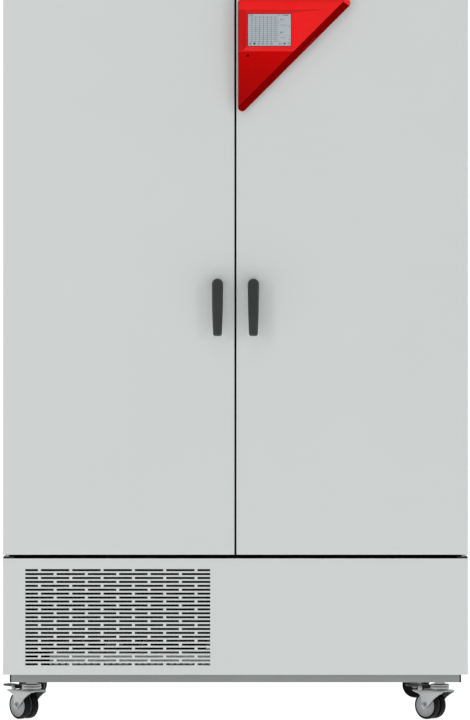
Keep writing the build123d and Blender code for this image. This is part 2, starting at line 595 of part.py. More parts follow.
print("flap pivot", piv.X, piv.Y + SHIFT_Y, piv.Z, "axis", tdir, "dot", fy)
disp = bx(DISP[0], DISP[1], YC0 + 4, YC0 + 8, DISP[2], DISP[3])
save("controller_display", disp)

# ---------------------------------------------------------------------------
# castors
# ---------------------------------------------------------------------------
for name, (x, y, ux, uy) in CASTORS.items():
    ang = math.degrees(math.atan2(uy, ux))
    at = Location((x, y, 0), (0, 0, ang))
    leg_prof = [
        (-29, 81), (38, 81), (66, 79), (68, 75), (46, 66), (42, 56), (TRAIL + 9.5, 37.5),
        (TRAIL + 6, 29.5), (TRAIL - 5, 28.5), (TRAIL - 12, 35), (-16, 68), (-29, 77),
    ]
    fork = cz(0, 0, 80.9, HEAD_TOP, 26.5)
    fork += bx(-29, 40, -28, 28, BRIDGE_Z, 81.0)
    for e in (-1, 1):
        leg = extrude(
            Plane(origin=(0, e * 26.5 + 1.5, 0), x_dir=(1, 0, 0), z_dir=(0, -1, 0)) * poly(leg_prof), amount=3.0
        )
        fork += leg
    fork -= cz(0, 0, 70, 100, 6.0 + FIT)
    fork -= cy(TRAIL, 37.5, -30, 30, 4.0)
    axle = cy(TRAIL, 37.5, -32, 32, 4.0)
    axle += cy(TRAIL, 37.5, -32, -28, 7.5) + cy(TRAIL, 37.5, 28, 32, 7.5)
    if name in ("fl", "fr"):
        # ears for the brake pedal's pin
        for e in (-1, 1):
            fork += bx(40, 54, 25, 28, 78, 91) if e > 0 else bx(40, 54, -28, -25, 78, 91)
        fork -= cy(47, 84, -30, 30, 2.5 + FIT)
    fork_w = at * fork
    axle_w = at * axle
    save(f"castor_{name}_fork", fork_w, axle_w)
    wheels = []
    for e in (-1, 1):
        a, b = e * WHEEL_GAP_HALF, e * (WHEEL_GAP_HALF + WHEEL_W)
        w = cy(TRAIL, 37.5, min(a, b), max(a, b), WHEEL_R)
        w = fillet(w.edges().filter_by(GeomType.CIRCLE), 3.0)
        w -= cy(TRAIL, 37.5, -30, 30, 4.0 + FIT)
        wheels.append(at * w)
    save(f"castor_{name}_wheels", wheels)
    if name in ("fl", "fr"):
        pedal = bx(50, 112, -16, 16, 86, 91)
        pedal = fillet(pedal.edges().filter_by(Axis.Z).group_by(Axis.X)[-1], 10.0)
        pedal += bx(41, 53, -24.6, 24.6, 81, 90) & (cy(47, 84, -25, 25, 7.0) + bx(47, 53, -25, 25, 81, 90))
        pedal += cy(47, 84, -27.9, 27.9, 2.5)
        save(f"castor_{name}_brake", at * pedal)
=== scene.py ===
import json
import math

import bmesh
import bpy
from mathutils import Matrix, Vector

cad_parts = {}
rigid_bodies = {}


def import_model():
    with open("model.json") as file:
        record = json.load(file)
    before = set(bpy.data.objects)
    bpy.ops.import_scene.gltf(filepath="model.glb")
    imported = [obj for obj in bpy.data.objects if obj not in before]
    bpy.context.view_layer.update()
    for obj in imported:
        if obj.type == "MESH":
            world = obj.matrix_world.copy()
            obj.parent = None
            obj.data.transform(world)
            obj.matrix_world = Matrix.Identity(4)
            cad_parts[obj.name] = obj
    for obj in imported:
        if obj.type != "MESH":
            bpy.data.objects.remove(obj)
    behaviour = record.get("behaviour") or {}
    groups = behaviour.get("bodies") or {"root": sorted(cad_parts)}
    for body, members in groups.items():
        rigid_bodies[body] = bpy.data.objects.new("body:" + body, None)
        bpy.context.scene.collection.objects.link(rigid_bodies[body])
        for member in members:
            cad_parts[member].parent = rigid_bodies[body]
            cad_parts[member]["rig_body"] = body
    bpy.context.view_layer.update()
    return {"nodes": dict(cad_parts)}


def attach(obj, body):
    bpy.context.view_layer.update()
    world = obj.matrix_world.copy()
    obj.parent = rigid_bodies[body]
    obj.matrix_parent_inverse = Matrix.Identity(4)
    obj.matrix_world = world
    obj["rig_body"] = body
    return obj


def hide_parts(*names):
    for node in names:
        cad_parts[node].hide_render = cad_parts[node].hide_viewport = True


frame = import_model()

NODES = frame["nodes"]
SY = 24.0                      # the cabinet's middle lies this far behind the origin, in mm


def P(x, y, z):
    """A point in cabinet millimetres, as the model's metres."""
    return Vector((x / 1000.0, (y + SY) / 1000.0, z / 1000.0))


# ---------------------------------------------------------------------------
# camera, lights, floor
# ---------------------------------------------------------------------------
CAM_DIST = 9450.0
cam_data = bpy.data.cameras.new("camera")
cam_data.sensor_width = 36.0
cam_data.lens = 36.0 * CAM_DIST / 1942.6
cam_data.clip_end = 100.0
cam = bpy.data.objects.new("camera", cam_data)
cam.location = P(-1.2, -445.0 - CAM_DIST, 981.4)
cam.rotation_euler = (math.radians(90), 0, 0)
bpy.context.scene.collection.objects.link(cam)
bpy.context.scene.camera = cam

scene = bpy.context.scene
scene.view_settings.view_transform = "Standard"
scene.view_settings.look = "None"

world = bpy.data.worlds.new("studio") if scene.world is None else scene.world
scene.world = world
world.use_nodes = True
wt = world.node_tree
bg = wt.nodes.get("Background") or wt.nodes.new("ShaderNodeBackground")
bg.inputs["Color"].default_value = (1.0, 1.0, 1.0, 1.0)
# brighter from above, dim from below
wc = wt.nodes.new("ShaderNodeTexCoord")
ws = wt.nodes.new("ShaderNodeSeparateXYZ")
wr = wt.nodes.new("ShaderNodeMapRange")
wr.inputs["From Min"].default_value = -0.2
wr.inputs["From Max"].default_value = 0.8
wr.inputs["To Min"].default_value = 0.18
wr.inputs["To Max"].default_value = 0.36
wt.links.new(wc.outputs["Generated"], ws.inputs[0])
wt.links.new(ws.outputs["Z"], wr.inputs["Value"])
wt.links.new(wr.outputs[0], bg.inputs["Strength"])


def area(name, loc, target, sx, sy, power, color=(1, 1, 1)):
    d = bpy.data.lights.new(name, "AREA")
    d.shape = "RECTANGLE"
    d.size, d.size_y = sx, sy
    d.energy = power
    d.color = color
    o = bpy.data.objects.new(name, d)
    o.location = loc
    o.rotation_euler = (Vector(target) - Vector(loc)).to_track_quat("-Z", "Y").to_euler()
    scene.collection.objects.link(o)
    return o


area("softbox_left", (-4.3, -4.9, 2.3), (0.0, -0.3, 1.1), 1.0, 2.0, 46)
area("softbox_right", (4.3, -4.9, 2.1), (0.0, -0.3, 1.1), 1.0, 2.0, 34)
area("softbox_top", (-0.6, -2.9, 4.6), (0.0, -0.3, 1.3), 3.0, 1.2, 20)
area("softbox_front", (0.5, -10.6, 3.3), (0.0, -0.4, 1.2), 1.6, 1.3, 22)


# ---------------------------------------------------------------------------
# materials
# ---------------------------------------------------------------------------
def srgb(r, g, b):
    def f(c):
        c /= 255.0
        return c / 12.92 if c <= 0.04045 else ((c + 0.055) / 1.055) ** 2.4
    return (f(r), f(g), f(b))


def mat(name, col, rough=0.45, metal=0.0, var=0.04, scale=3.0, rvar=0.06, bump=0.02, bscale=900.0,
        bump_dist=0.0004, edge=0.25, edge_col=None, edge_r=0.0012, stretch=(1, 1, 1), coat=0.0,
        emit=None, emit_s=0.0, trans=0.0, ior=1.45, alpha=1.0, spec=0.5, painted_shade_ramp=None):
    """Painted, moulded or bare surface: slow colour drift, fine grain in the height, roughness drift
    and edges that are worn lighter or darker."""
    m = bpy.data.materials.new(name)
    m.use_nodes = True
    nt = m.node_tree
    N, L = nt.nodes, nt.links
    bs = N["Principled BSDF"]
    bs.inputs["Metallic"].default_value = metal
    bs.inputs["IOR"].default_value = ior
    bs.inputs["Specular IOR Level"].default_value = spec
    bs.inputs["Coat Weight"].default_value = coat
    bs.inputs["Coat Roughness"].default_value = 0.12
    bs.inputs["Transmission Weight"].default_value = trans
    bs.inputs["Alpha"].default_value = alpha
    tc = N.new("ShaderNodeTexCoord")
    mp = N.new("ShaderNodeMapping")
    mp.inputs["Scale"].default_value = stretch
    L.new(tc.outputs["Object"], mp.inputs["Vector"])
    n1 = N.new("ShaderNodeTexNoise")
    n1.inputs["Scale"].default_value = scale
    n1.inputs["Detail"].default_value = 6
    n1.inputs["Roughness"].default_value = 0.6
    L.new(mp.outputs[0], n1.inputs["Vector"])
    ramp = N.new("ShaderNodeValToRGB")
    c0 = [max(0.0, c * (1 - var)) for c in col]
    c1 = [min(1.0, c * (1 + var)) for c in col]
    ramp.color_ramp.elements[0].position = 0.3
    ramp.color_ramp.elements[1].position = 0.7
    ramp.color_ramp.elements[0].color = (*c0, 1)
    ramp.color_ramp.elements[1].color = (*c1, 1)
    L.new(n1.outputs["Fac"], ramp.inputs["Fac"])
    color = ramp.outputs["Color"]
    # fine speckle of the pigment
    n2 = N.new("ShaderNodeTexNoise")
    n2.inputs["Scale"].default_value = bscale
    n2.inputs["Detail"].default_value = 2
    L.new(mp.outputs[0], n2.inputs["Vector"])
    mix = N.new("ShaderNodeMix")
    mix.data_type = "RGBA"
    mix.blend_type = "MULTIPLY"
    mr = N.new("ShaderNodeMapRange")
    mr.inputs["From Min"].default_value = 0.3
    mr.inputs["From Max"].default_value = 0.7
    mr.inputs["To Min"].default_value = 1 - var * 0.5
    mr.inputs["To Max"].default_value = 1.0
    L.new(n2.outputs["Fac"], mr.inputs["Value"])
    mix.inputs["Factor"].default_value = 1.0
    L.new(color, mix.inputs["A"])
    L.new(mr.outputs[0], mix.inputs["B"])
    color = mix.outputs["Result"]
    if edge > 0:
        bev = N.new("ShaderNodeBevel")
        bev.samples = 4
        bev.inputs["Radius"].default_value = edge_r
        geo = N.new("ShaderNodeNewGeometry")
        dot = N.new("ShaderNodeVectorMath")
        dot.operation = "DOT_PRODUCT"
        L.new(bev.outputs[0], dot.inputs[0])
        L.new(geo.outputs["Normal"], dot.inputs[1])
        em = N.new("ShaderNodeMapRange")
        em.inputs["From Min"].default_value = 0.98
        em.inputs["From Max"].default_value = 0.80
        em.inputs["To Min"].default_value = 0.0
        em.inputs["To Max"].default_value = edge
        L.new(dot.outputs["Value"], em.inputs["Value"])
        n3 = N.new("ShaderNodeTexNoise")
        n3.inputs["Scale"].default_value = 60
        n3.inputs["Detail"].default_value = 5
        L.new(tc.outputs["Object"], n3.inputs["Vector"])
        er = N.new("ShaderNodeMapRange")
        er.inputs["From Min"].default_value = 0.35
        er.inputs["From Max"].default_value = 0.65
        L.new(n3.outputs["Fac"], er.inputs["Value"])
        mul = N.new("ShaderNodeMath")
        mul.operation = "MULTIPLY"
        L.new(em.outputs[0], mul.inputs[0])
        L.new(er.outputs[0], mul.inputs[1])
        mix2 = N.new("ShaderNodeMix")
        mix2.data_type = "RGBA"
        L.new(mul.outputs[0], mix2.inputs["Factor"])
        L.new(color, mix2.inputs["A"])
        ec = edge_col if edge_col else [min(1.0, c * 1.5 + 0.04) for c in col]
        mix2.inputs["B"].default_value = (*ec, 1)
        color = mix2.outputs["Result"]
    if painted_shade_ramp:
        # painted shade: deeper tone towards the lower end, by the piece's own height
        sep = N.new("ShaderNodeSeparateXYZ")
        L.new(tc.outputs["Object"], sep.inputs[0])
        fr = N.new("ShaderNodeMapRange")
        fr.inputs["From Min"].default_value = painted_shade_ramp[0]
        fr.inputs["From Max"].default_value = painted_shade_ramp[1]
        fr.inputs["To Min"].default_value = painted_shade_ramp[2]
        fr.inputs["To Max"].default_value = 1.0
        L.new(sep.outputs["Z"], fr.inputs["Value"])
        mixf = N.new("ShaderNodeMix")
        mixf.data_type = "RGBA"
        mixf.blend_type = "MULTIPLY"
        mixf.inputs["Factor"].default_value = 1.0
        L.new(color, mixf.inputs["A"])
        L.new(fr.outputs[0], mixf.inputs["B"])
        color = mixf.outputs["Result"]
    L.new(color, bs.inputs["Base Color"])
    rr = N.new("ShaderNodeMapRange")
    rr.inputs["From Min"].default_value = 0.3
    rr.inputs["From Max"].default_value = 0.7
    rr.inputs["To Min"].default_value = max(0.02, rough - rvar)
    rr.inputs["To Max"].default_value = min(1.0, rough + rvar)
    L.new(n1.outputs["Fac"], rr.inputs["Value"])
    L.new(rr.outputs[0], bs.inputs["Roughness"])
    if bump > 0:
        bp = N.new("ShaderNodeBump")
        bp.inputs["Strength"].default_value = bump
        bp.inputs["Distance"].default_value = bump_dist
        L.new(n2.outputs["Fac"], bp.inputs["Height"])
        L.new(bp.outputs[0], bs.inputs["Normal"])
    if emit is not None:
        bs.inputs["Emission Color"].default_value = (*emit, 1)
        bs.inputs["Emission Strength"].default_value = emit_s
    return m


M = {}
M["paint"] = mat("door_paint", srgb(213, 217, 216), rough=0.42, var=0.012, scale=1.6, rvar=0.04, bump=0.10,
                 bscale=1100, bump_dist=0.0002, edge=0.35, edge_col=srgb(228, 231, 230), edge_r=0.0016)
M["paint_side"] = mat("housing_paint", srgb(203, 207, 206), rough=0.45, var=0.015, scale=1.4, bump=0.12,
                      bscale=1000, bump_dist=0.0002, edge=0.3, edge_col=srgb(224, 227, 226))
M["base"] = mat("chassis_grey", srgb(140, 143, 142), rough=0.5, var=0.06, scale=6, bump=0.12, bscale=800,
                edge=0.4, edge_col=srgb(170, 172, 171))
M["black_paint"] = mat("frame_black", srgb(26, 27, 27), rough=0.5, var=0.12, scale=9, bump=0.1, bscale=700,
                       edge=0.3, edge_col=srgb(70, 71, 71))
M["handle"] = mat("handle_black", srgb(44, 45, 45), rough=0.42, var=0.08, scale=14, bump=0.25, bscale=1600,
                  bump_dist=0.0003, edge=0.45, edge_col=srgb(82, 84, 84), edge_r=0.0012)
# One red moulding in lit and shaded copies: controller_red is the red of the facets that face the light, and the side,
# low, bevel and deep copies are painted shade.
M["red"] = mat("controller_red", srgb(244, 8, 8), rough=0.38, var=0.04, scale=9, bump=0.22, bscale=1300,
               bump_dist=0.0004, edge=0.25, edge_col=srgb(246, 50, 46), edge_r=0.0012, spec=0.34)
M["red_painted_shade_side"] = mat("controller_red_painted_shade_side", srgb(204, 3, 3), rough=0.40, var=0.05, scale=9, bump=0.22, bscale=1300,
                    bump_dist=0.0004, edge=0.25, edge_col=srgb(226, 32, 30), edge_r=0.0012, spec=0.2)
M["red_painted_shade_low"] = mat("controller_red_painted_shade_low", srgb(200, 2, 2), rough=0.42, var=0.05, scale=9, bump=0.22, bscale=1300,
                   bump_dist=0.0004, edge=0.25, edge_col=srgb(214, 18, 16), edge_r=0.0012, spec=0.05,
                   painted_shade_ramp=(1.664, 1.812, 0.62))
M["red_painted_shade_bevel"] = mat("controller_red_painted_shade_bevel", srgb(132, 1, 1), rough=0.6, var=0.05, scale=9, bump=0.22, bscale=1300,
                     bump_dist=0.0004, edge=0.3, edge_col=srgb(160, 6, 5), edge_r=0.0012, spec=0.0)
M["red_painted_shade_deep"] = mat("controller_red_painted_shade_deep", srgb(140, 2, 3), rough=0.42, var=0.05, scale=9, bump=0.22, bscale=1300,
                    bump_dist=0.0004, edge=0.3, edge_col=srgb(170, 12, 10), spec=0.03)
M["zinc"] = mat("zinc", srgb(176, 178, 178), rough=0.34, metal=0.85, var=0.10, scale=26, rvar=0.10, bump=0.15,
                bscale=420, edge=0.35, edge_col=srgb(225, 226, 226))
M["steel"] = mat("stainless", srgb(196, 197, 196), rough=0.32, metal=0.95, var=0.05, scale=18, rvar=0.08,
                 bump=0.2, bscale=260, stretch=(1, 1, 14), edge=0.2)
M["alu"] = mat("aluminium", srgb(206, 208, 209), rough=0.38, metal=0.9, var=0.05, scale=14, bump=0.15,
               bscale=320, stretch=(8, 1, 1), edge=0.2)
M["copper"] = mat("copper", srgb(184, 112, 74), rough=0.3, metal=0.95, var=0.18, scale=22, rvar=0.12, bump=0.1,
                  bscale=500, edge=0.2)
M["rubber"] = mat("seal_rubber", srgb(30, 30, 30), rough=0.75, var=0.15, scale=20, bump=0.3, bscale=700,
                  edge=0.2, edge_col=srgb(58, 58, 58))
M["tyre"] = mat("tyre", srgb(7, 7, 8), rough=0.6, var=0.2, scale=40, bump=0.35, bscale=900, edge=0.3,
                edge_col=srgb(46, 46, 46), spec=0.18)
M["hub"] = mat("wheel_hub", srgb(158, 160, 161), rough=0.45, var=0.05, scale=30, bump=0.18, bscale=1200,
               edge=0.4, edge_col=srgb(205, 206, 206))
M["plastic"] = mat("black_plastic", srgb(34, 35, 36), rough=0.55, var=0.12, scale=18, bump=0.3, bscale=1500,
                   edge=0.35, edge_col=srgb(76, 77, 78))
M["silicone"] = mat("silicone", srgb(226, 226, 220), rough=0.6, var=0.05, scale=18, bump=0.15, bscale=600,
                    edge=0.2)
M["foam"] = mat("insulation", srgb(222, 206, 150), rough=0.95, var=0.15, scale=30, bump=0.6, bscale=300,
                bump_dist=0.001, edge=0.0)
M["lamp"] = mat("lamp_glass", srgb(242, 243, 238), rough=0.25, var=0.02, scale=12, bump=0.05, bscale=600,
                edge=0.0, emit=(1.0, 0.98, 0.92), emit_s=0.15)
M["screw"] = mat("screw_zinc", srgb(186, 187, 186), rough=0.3, metal=0.9, var=0.10, scale=80, bump=0.1,
                 bscale=900, edge=0.3)
# Black that paints the shade in the gaps, behind the slots and inside the machine bay.
M["painted_shade_black"] = mat("bay_painted_shade", srgb(20, 21, 21), rough=0.8, var=0.2, scale=12, bump=0.3, bscale=400, edge=0.0)


def glass_mat():
    m = mat("pane_glass", srgb(214, 230, 226), rough=0.04, var=0.02, scale=2.0, rvar=0.02, bump=0.01, bscale=40,
            edge=0.6, edge_col=srgb(120, 170, 158), edge_r=0.003, trans=1.0, ior=1.46)
    return m


M["glass"] = glass_mat()


# ---------------------------------------------------------------------------
# mesh helpers
# ---------------------------------------------------------------------------
def put(name, bm, mats, body, replaces=(), smooth=34.0, weighted=True):
    me = bpy.data.meshes.new(name)
    bmesh.ops.recalc_face_normals(bm, faces=bm.faces)
    bm.to_mesh(me)
    bm.free()
    for k in mats:
        me.materials.append(M[k] if isinstance(k, str) else k)
    me.shade_smooth()
    me.set_sharp_from_angle(angle=math.radians(smooth))
    ob = bpy.data.objects.new(name, me)
    scene.collection.objects.link(ob)
    if weighted:
        w = ob.modifiers.new("normals", "WEIGHTED_NORMAL")
        w.keep_sharp = True
    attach(ob, body)
    if replaces:
        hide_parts(*replaces)
    return ob


def bevel(bm, w, segs=2, ang=30.0, edges=None, profile=0.5):
    if edges is None:
        edges = [e for e in bm.edges if len(e.link_faces) == 2 and e.calc_face_angle(0.0) > math.radians(ang)]
    if edges:
        bmesh.ops.bevel(bm, geom=edges, offset=w / 1000.0, offset_type="OFFSET", segments=segs,
                        profile=profile, affect="EDGES", clamp_overlap=True)


def box(bm, x0, x1, y0, y1, z0, z1, mi=0):
    x0, x1 = min(x0, x1), max(x0, x1)
    v = [bm.verts.new(P(x, y, z)) for z in (z0, z1) for y in (y0, y1) for x in (x0, x1)]
    fs = [(0, 2, 3, 1), (4, 5, 7, 6), (0, 1, 5, 4), (2, 6, 7, 3), (0, 4, 6, 2), (1, 3, 7, 5)]
    out = []
    for f in fs:
        q = bm.faces.new([v[i] for i in f])
        q.material_index = mi
        out.append(q)
    return out


def rings(bm, loops, mi=0, cap0=True, cap1=True, closed=True):
    """Skin between loops of points (already in metres) with the same count."""
    vs = [[bm.verts.new(p) for p in lp] for lp in loops]
    n = len(vs[0])
    faces = []
    for a, b in zip(vs, vs[1:]):
        for i in range(n if closed else n - 1):
            j = (i + 1) % n
            f = bm.faces.new((a[i], a[j], b[j], b[i]))
            f.material_index = mi
            faces.append(f)
    if cap0:
        f = bm.faces.new(list(reversed(vs[0])))
        f.material_index = mi
        faces.append(f)
    if cap1:
        f = bm.faces.new(vs[-1])
        f.material_index = mi
        faces.append(f)
    return vs, faces


def lathe(bm, profile, frame_m, segs=48, mi=0, mis=None):
    """profile: (radius, height) in mm, turned about local z of frame_m (metres)."""
    prev = None
    first = None
    for k, (r, h) in enumerate(profile):
        if r < 1e-6:
            cur = [bm.verts.new(frame_m @ Vector((0, 0, h / 1000.0)))]
        else:
            cur = [
                bm.verts.new(frame_m @ Vector((r / 1000.0 * math.cos(2 * math.pi * i / segs), r / 1000.0 * math.sin(2 * math.pi * i / segs), h / 1000.0)))
                for i in range(segs)
            ]
        if prev is not None:
            m_ = mis[k - 1] if mis else mi
            if len(prev) == 1 and len(cur) > 1:
                for i in range(segs):
                    bm.faces.new((prev[0], cur[i], cur[(i + 1) % segs])).material_index = m_
            elif len(cur) == 1 and len(prev) > 1:
                for i in range(segs):
                    bm.faces.new((prev[i], cur[0], prev[(i + 1) % segs])).material_index = m_
            elif len(cur) > 1:
                for i in range(segs):
                    j = (i + 1) % segs
                    bm.faces.new((prev[i], cur[i], cur[j], prev[j])).material_index = m_
        prev = cur
        if first is None:
            first = cur


def wire(bm, pts, r, segs=8, mi=0, caps=True):
    """Round bar through points in metres."""
    pts = [Vector(p) for p in pts]
    loops = []
    for i, p in enumerate(pts):
        if i == 0:
            d = pts[1] - p
        elif i == len(pts) - 1:
            d = p - pts[i - 1]
        else:
            d = (pts[i + 1] - p).normalized() + (p - pts[i - 1]).normalized()
        d.normalize()
        a = d.orthogonal().normalized() if i == 0 else (loops_a - d * loops_a.dot(d)).normalized()
        loops_a = a
        b = d.cross(a)
        loops.append([p + (a * math.cos(2 * math.pi * k / segs) + b * math.sin(2 * math.pi * k / segs)) * r / 1000.0 for k in range(segs)])
    rings(bm, loops, mi, caps, caps)


def cad_copy(node, pick=None, bev=0.0, segs=2, ang=30.0, weld=2e-5):
    """The node's own shape with its flat faces joined and its edges eased."""
    bm = bmesh.new()
    bm.from_mesh(NODES[node].data)
    bmesh.ops.remove_doubles(bm, verts=bm.verts, dist=weld)
    bmesh.ops.dissolve_limit(bm, angle_limit=math.radians(0.8), verts=bm.verts, edges=bm.edges)
    for f in bm.faces:
        f.material_index = 0
    if bev:
        bevel(bm, bev, segs, ang)
    if pick:
        for f in bm.faces:
            c = f.calc_center_median() * 1000.0
            f.material_index = pick(Vector((c.x, c.y - SY, c.z)), f.normal)
    return bm


BODY_OF = {n: o.get("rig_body") for n, o in NODES.items()}


def redo(node, mats, pick=None, bev=0.6, segs=2, ang=30.0, smooth=34.0, name=None):
    bm = cad_copy(node, pick, bev, segs, ang)
    return put(name or node + "_v", bm, mats, BODY_OF[node], (node,), smooth)


def dress(node, key):
    o = NODES[node]
    o.data.materials.clear()
    o.data.materials.append(M[key])


# ---------------------------------------------------------------------------
# floor and backdrop
# ---------------------------------------------------------------------------
def floor():
    bm = bmesh.new()
    pts = []
    prof = [(-14.0, 0.0), (3.2, 0.0), (3.9, 0.06), (4.5, 0.3), (4.9, 0.8), (5.05, 1.6), (5.1, 9.0)]
    for y, z in prof:
        pts.append([bm.verts.new((x, y, z)) for x in (-12.0, 12.0)])
    for a, b in zip(pts, pts[1:]):
        bm.faces.new((a[0], a[1], b[1], b[0]))
    me = bpy.data.meshes.new("floor")
    bm.to_mesh(me)
    bm.free()
    me.shade_smooth()
    m = bpy.data.materials.new("floor")
    m.use_nodes = True
    nt = m.node_tree
    bs = nt.nodes["Principled BSDF"]
    n = nt.nodes.new("ShaderNodeTexNoise")
    n.inputs["Scale"].default_value = 3.0
    r = nt.nodes.new("ShaderNodeValToRGB")
    r.color_ramp.elements[0].color = (0.50, 0.50, 0.50, 1)
    r.color_ramp.elements[1].color = (0.55, 0.55, 0.55, 1)
    nt.links.new(n.outputs["Fac"], r.inputs["Fac"])
    nt.links.new(r.outputs["Color"], bs.inputs["Base Color"])
    bs.inputs["Roughness"].default_value = 0.8
    bs.inputs["Emission Color"].default_value = (1, 1, 1, 1)
    bs.inputs["Emission Strength"].default_value = 0.88
    me.materials.append(m)
    ob = bpy.data.objects.new("floor", me)
    scene.collection.objects.link(ob)


floor()


# ---------------------------------------------------------------------------
# outer doors: folded pans with rounded outer corners
# ---------------------------------------------------------------------------
def door(side):
    s = -1 if side == "left" else 1
    bm = bmesh.new()
    box(bm, s * 2.0, s * 627.5, -445.0, -385.15, 455.5, 1999.0)
    bm.normal_update()
    front, rest = [], []
    for e in bm.edges:
        ys = [v.co.y for v in e.verts]
        if all(abs(y - P(0, -445.0, 0).y) < 1e-6 for y in ys):
            front.append(e)
        elif abs(ys[0] - ys[1]) > 0.01:
            rest.append(e)
    bevel(bm, 2.6, 4, edges=front + rest)
    bm.normal_update()
    for f in bm.faces:
        # Painted shade: the door's side facing the centre gap and its bottom face take the black, so the gaps read
        # dark.
        c = f.calc_center_median() * 1000.0
        if (f.normal.x * s < -0.8 and abs(c.x) < 3.0) or (f.normal.z < -0.8 and c.z < 456.5):
            f.material_index = 1
    put(f"door_{side}_skin_v", bm, ["paint", "painted_shade_black"], f"door_{side}", (f"door_{side}_skin",))
    redo(f"door_{side}_liner", ["steel"], bev=0.5)
    # seal with a lip: two beads on a base strip
    bm = bmesh.new()
    x0, x1, z0, z1 = (6.0, 610.0, 462.0, 1992.0)
    prof = [(0.0, -383.0), (0.0, -380.5), (2.0, -379.5), (1.2, -377.0), (2.6, -374.4), (6.0, -373.5), (9.4, -374.4),
            (10.6, -377.2), (11.4, -379.2), (13.4, -378.4), (16.0, -380.6), (16.0, -383.0)]
    loops = []
    for d, y in prof:
        loops.append([P(s * (x0 + d), y, z0 + d), P(s * (x1 - d), y, z0 + d), P(s * (x1 - d), y, z1 - d), P(s * (x0 + d), y, z1 - d)])
    vs = [[bm.verts.new(p) for p in lp] for lp in loops]
    for a, b in zip(vs, vs[1:]):
        for i in range(4):
            j = (i + 1) % 4
            bm.faces.new((a[i], a[j], b[j], b[i]))
    a, b = vs[-1], vs[0]
    for i in range(4):
        j = (i + 1) % 4
        bm.faces.new((a[i], a[j], b[j], b[i]))
    put(f"door_{side}_gasket_v", bm, ["rubber"], f"door_{side}", (f"door_{side}_gasket",), smooth=50)


door("left")
door("right")
for side in ("left", "right"):
    dress(f"door_{side}_foam", "foam")


# ---------------------------------------------------------------------------
# handles
# ---------------------------------------------------------------------------
def handle(side):
    s = -1 if side == "left" else 1
    hx, hz = 48.3 * s, 1185.3
    top = [(15.1 * math.cos(math.radians(a)), hz + 15.1 * math.sin(math.radians(a))) for a in range(0, 181, 12)]
    low = []
    for k in range(5):
        a = math.radians(180 + 22.5 * k)
        low.append((-12.0 + 6 + 6 * math.cos(a), 1045.8 + 6 + 6 * math.sin(a)))
    low2 = [(-x, z) for x, z in reversed(low)]
    outline = top + [(-15.05, 1160.0), (-14.8, 1135.0), (-14.1, 1105.0), (-13.2, 1080.0)] + low + low2
    outline += [(13.2, 1080.0), (14.1, 1105.0), (14.8, 1135.0), (15.05, 1160.0)]
    n = len(outline)

    def inset(d):
        out = []
        for i, (x, z) in enumerate(outline):
            xa, za = outline[i - 1]
            xb, zb = outline[(i + 1) % n]
            tx, tz = xb - xa, zb - za
            ln = math.hypot(tx, tz)
            nx, nz = tz / ln, -tx / ln      # outward, the outline runs against the clock
            out.append((x - nx * d, z - nz * d))
        return out

    bm = bmesh.new()
    loops = []
    for d, y in ((1.6, -476.0), (0.5, -476.5), (0.0, -477.8), (0.0, -484.2), (0.35, -485.4), (3.3, -491.9), (3.9, -492.6), (4.9, -493.0)):
        loops.append([P(hx + x, y, z) for x, z in inset(d)])
    rings(bm, loops)
    # boss that carries the lever
    fm = Matrix.Translation(P(hx, 0, hz)) @ Matrix.Rotation(math.radians(90), 4, "X")
    lathe(bm, [(10.5, 475.0), (13.0, 475.4), (13.0, 453.4), (12.4, 451.2), (11.4, 450.3), (0.0, 450.3)], fm, 48)
    put(f"handle_{side}_lever_v", bm, ["handle"], f"handle_{side}", (f"handle_{side}_lever",), smooth=26)
    bm = bmesh.new()
    lathe(bm, [(5.2, 445.1), (14.4, 445.1), (15.0, 445.6), (15.0, 448.2), (14.2, 449.6), (12.6, 450.0), (5.2, 450.0), (5.2, 445.1)], fm, 56)
    put(f"handle_{side}_rose_v", bm, ["plastic"], f"door_{side}", (f"handle_{side}_rose",), smooth=26)
    redo(f"handle_{side}_spindle", ["zinc"], bev=0.7)


handle("left")
handle("right")


# ---------------------------------------------------------------------------
# housing, chassis, lower panel
# ---------------------------------------------------------------------------
# Painted shade: the base's end plates and its top under the lower panel take the black paint, standing in for the shade
# they lie in.
def base_pick(c, n):
    if abs(c.x) > 606.3 and c.z < 132.5:
        return 1
    if c.z > 131.0:
        return 1
    return 0



def chassis():
    bm = cad_copy("base_frame", None, 0.0)
    for co in (P(-606.4, 0, 0), P(606.4, 0, 0)):
        bmesh.ops.bisect_plane(bm, geom=bm.verts[:] + bm.edges[:] + bm.faces[:], plane_co=co, plane_no=(1, 0, 0))
    for f in bm.faces:
        c = f.calc_center_median() * 1000.0
        f.material_index = base_pick(Vector((c.x, c.y - SY, c.z)), f.normal)
    put("base_frame_v", bm, ["base", "black_paint", "paint_side"], "cabinet", ("base_frame",))


chassis()
redo("side_panels", ["paint_side"], bev=0.8)
redo("roof_panel", ["paint_side"], bev=0.8)
redo("rear_panel", ["paint_side"], bev=0.5)


def front_frame():
    """The painted front frame, with painted shade in the black rubber on the strips that lie behind the gaps between
    the doors.
    """
    bm = cad_copy("door_frame", None, 0.0)
    for co, no in ((P(-8, 0, 0), (1, 0, 0)), (P(8, 0, 0), (1, 0, 0)), (P(0, 0, 461.5), (0, 0, 1))):
        bmesh.ops.bisect_plane(bm, geom=bm.verts[:] + bm.edges[:] + bm.faces[:], plane_co=co, plane_no=no)
    bm.normal_update()
    for f in bm.faces:
        c = f.calc_center_median() * 1000.0
        if f.normal.y < -0.9 and c.y < -340 and (abs(c.x) < 8 or c.z < 461.5):
            f.material_index = 1
    put("door_frame_v", bm, ["paint_side", "rubber"], "cabinet", ("door_frame",))


front_frame()


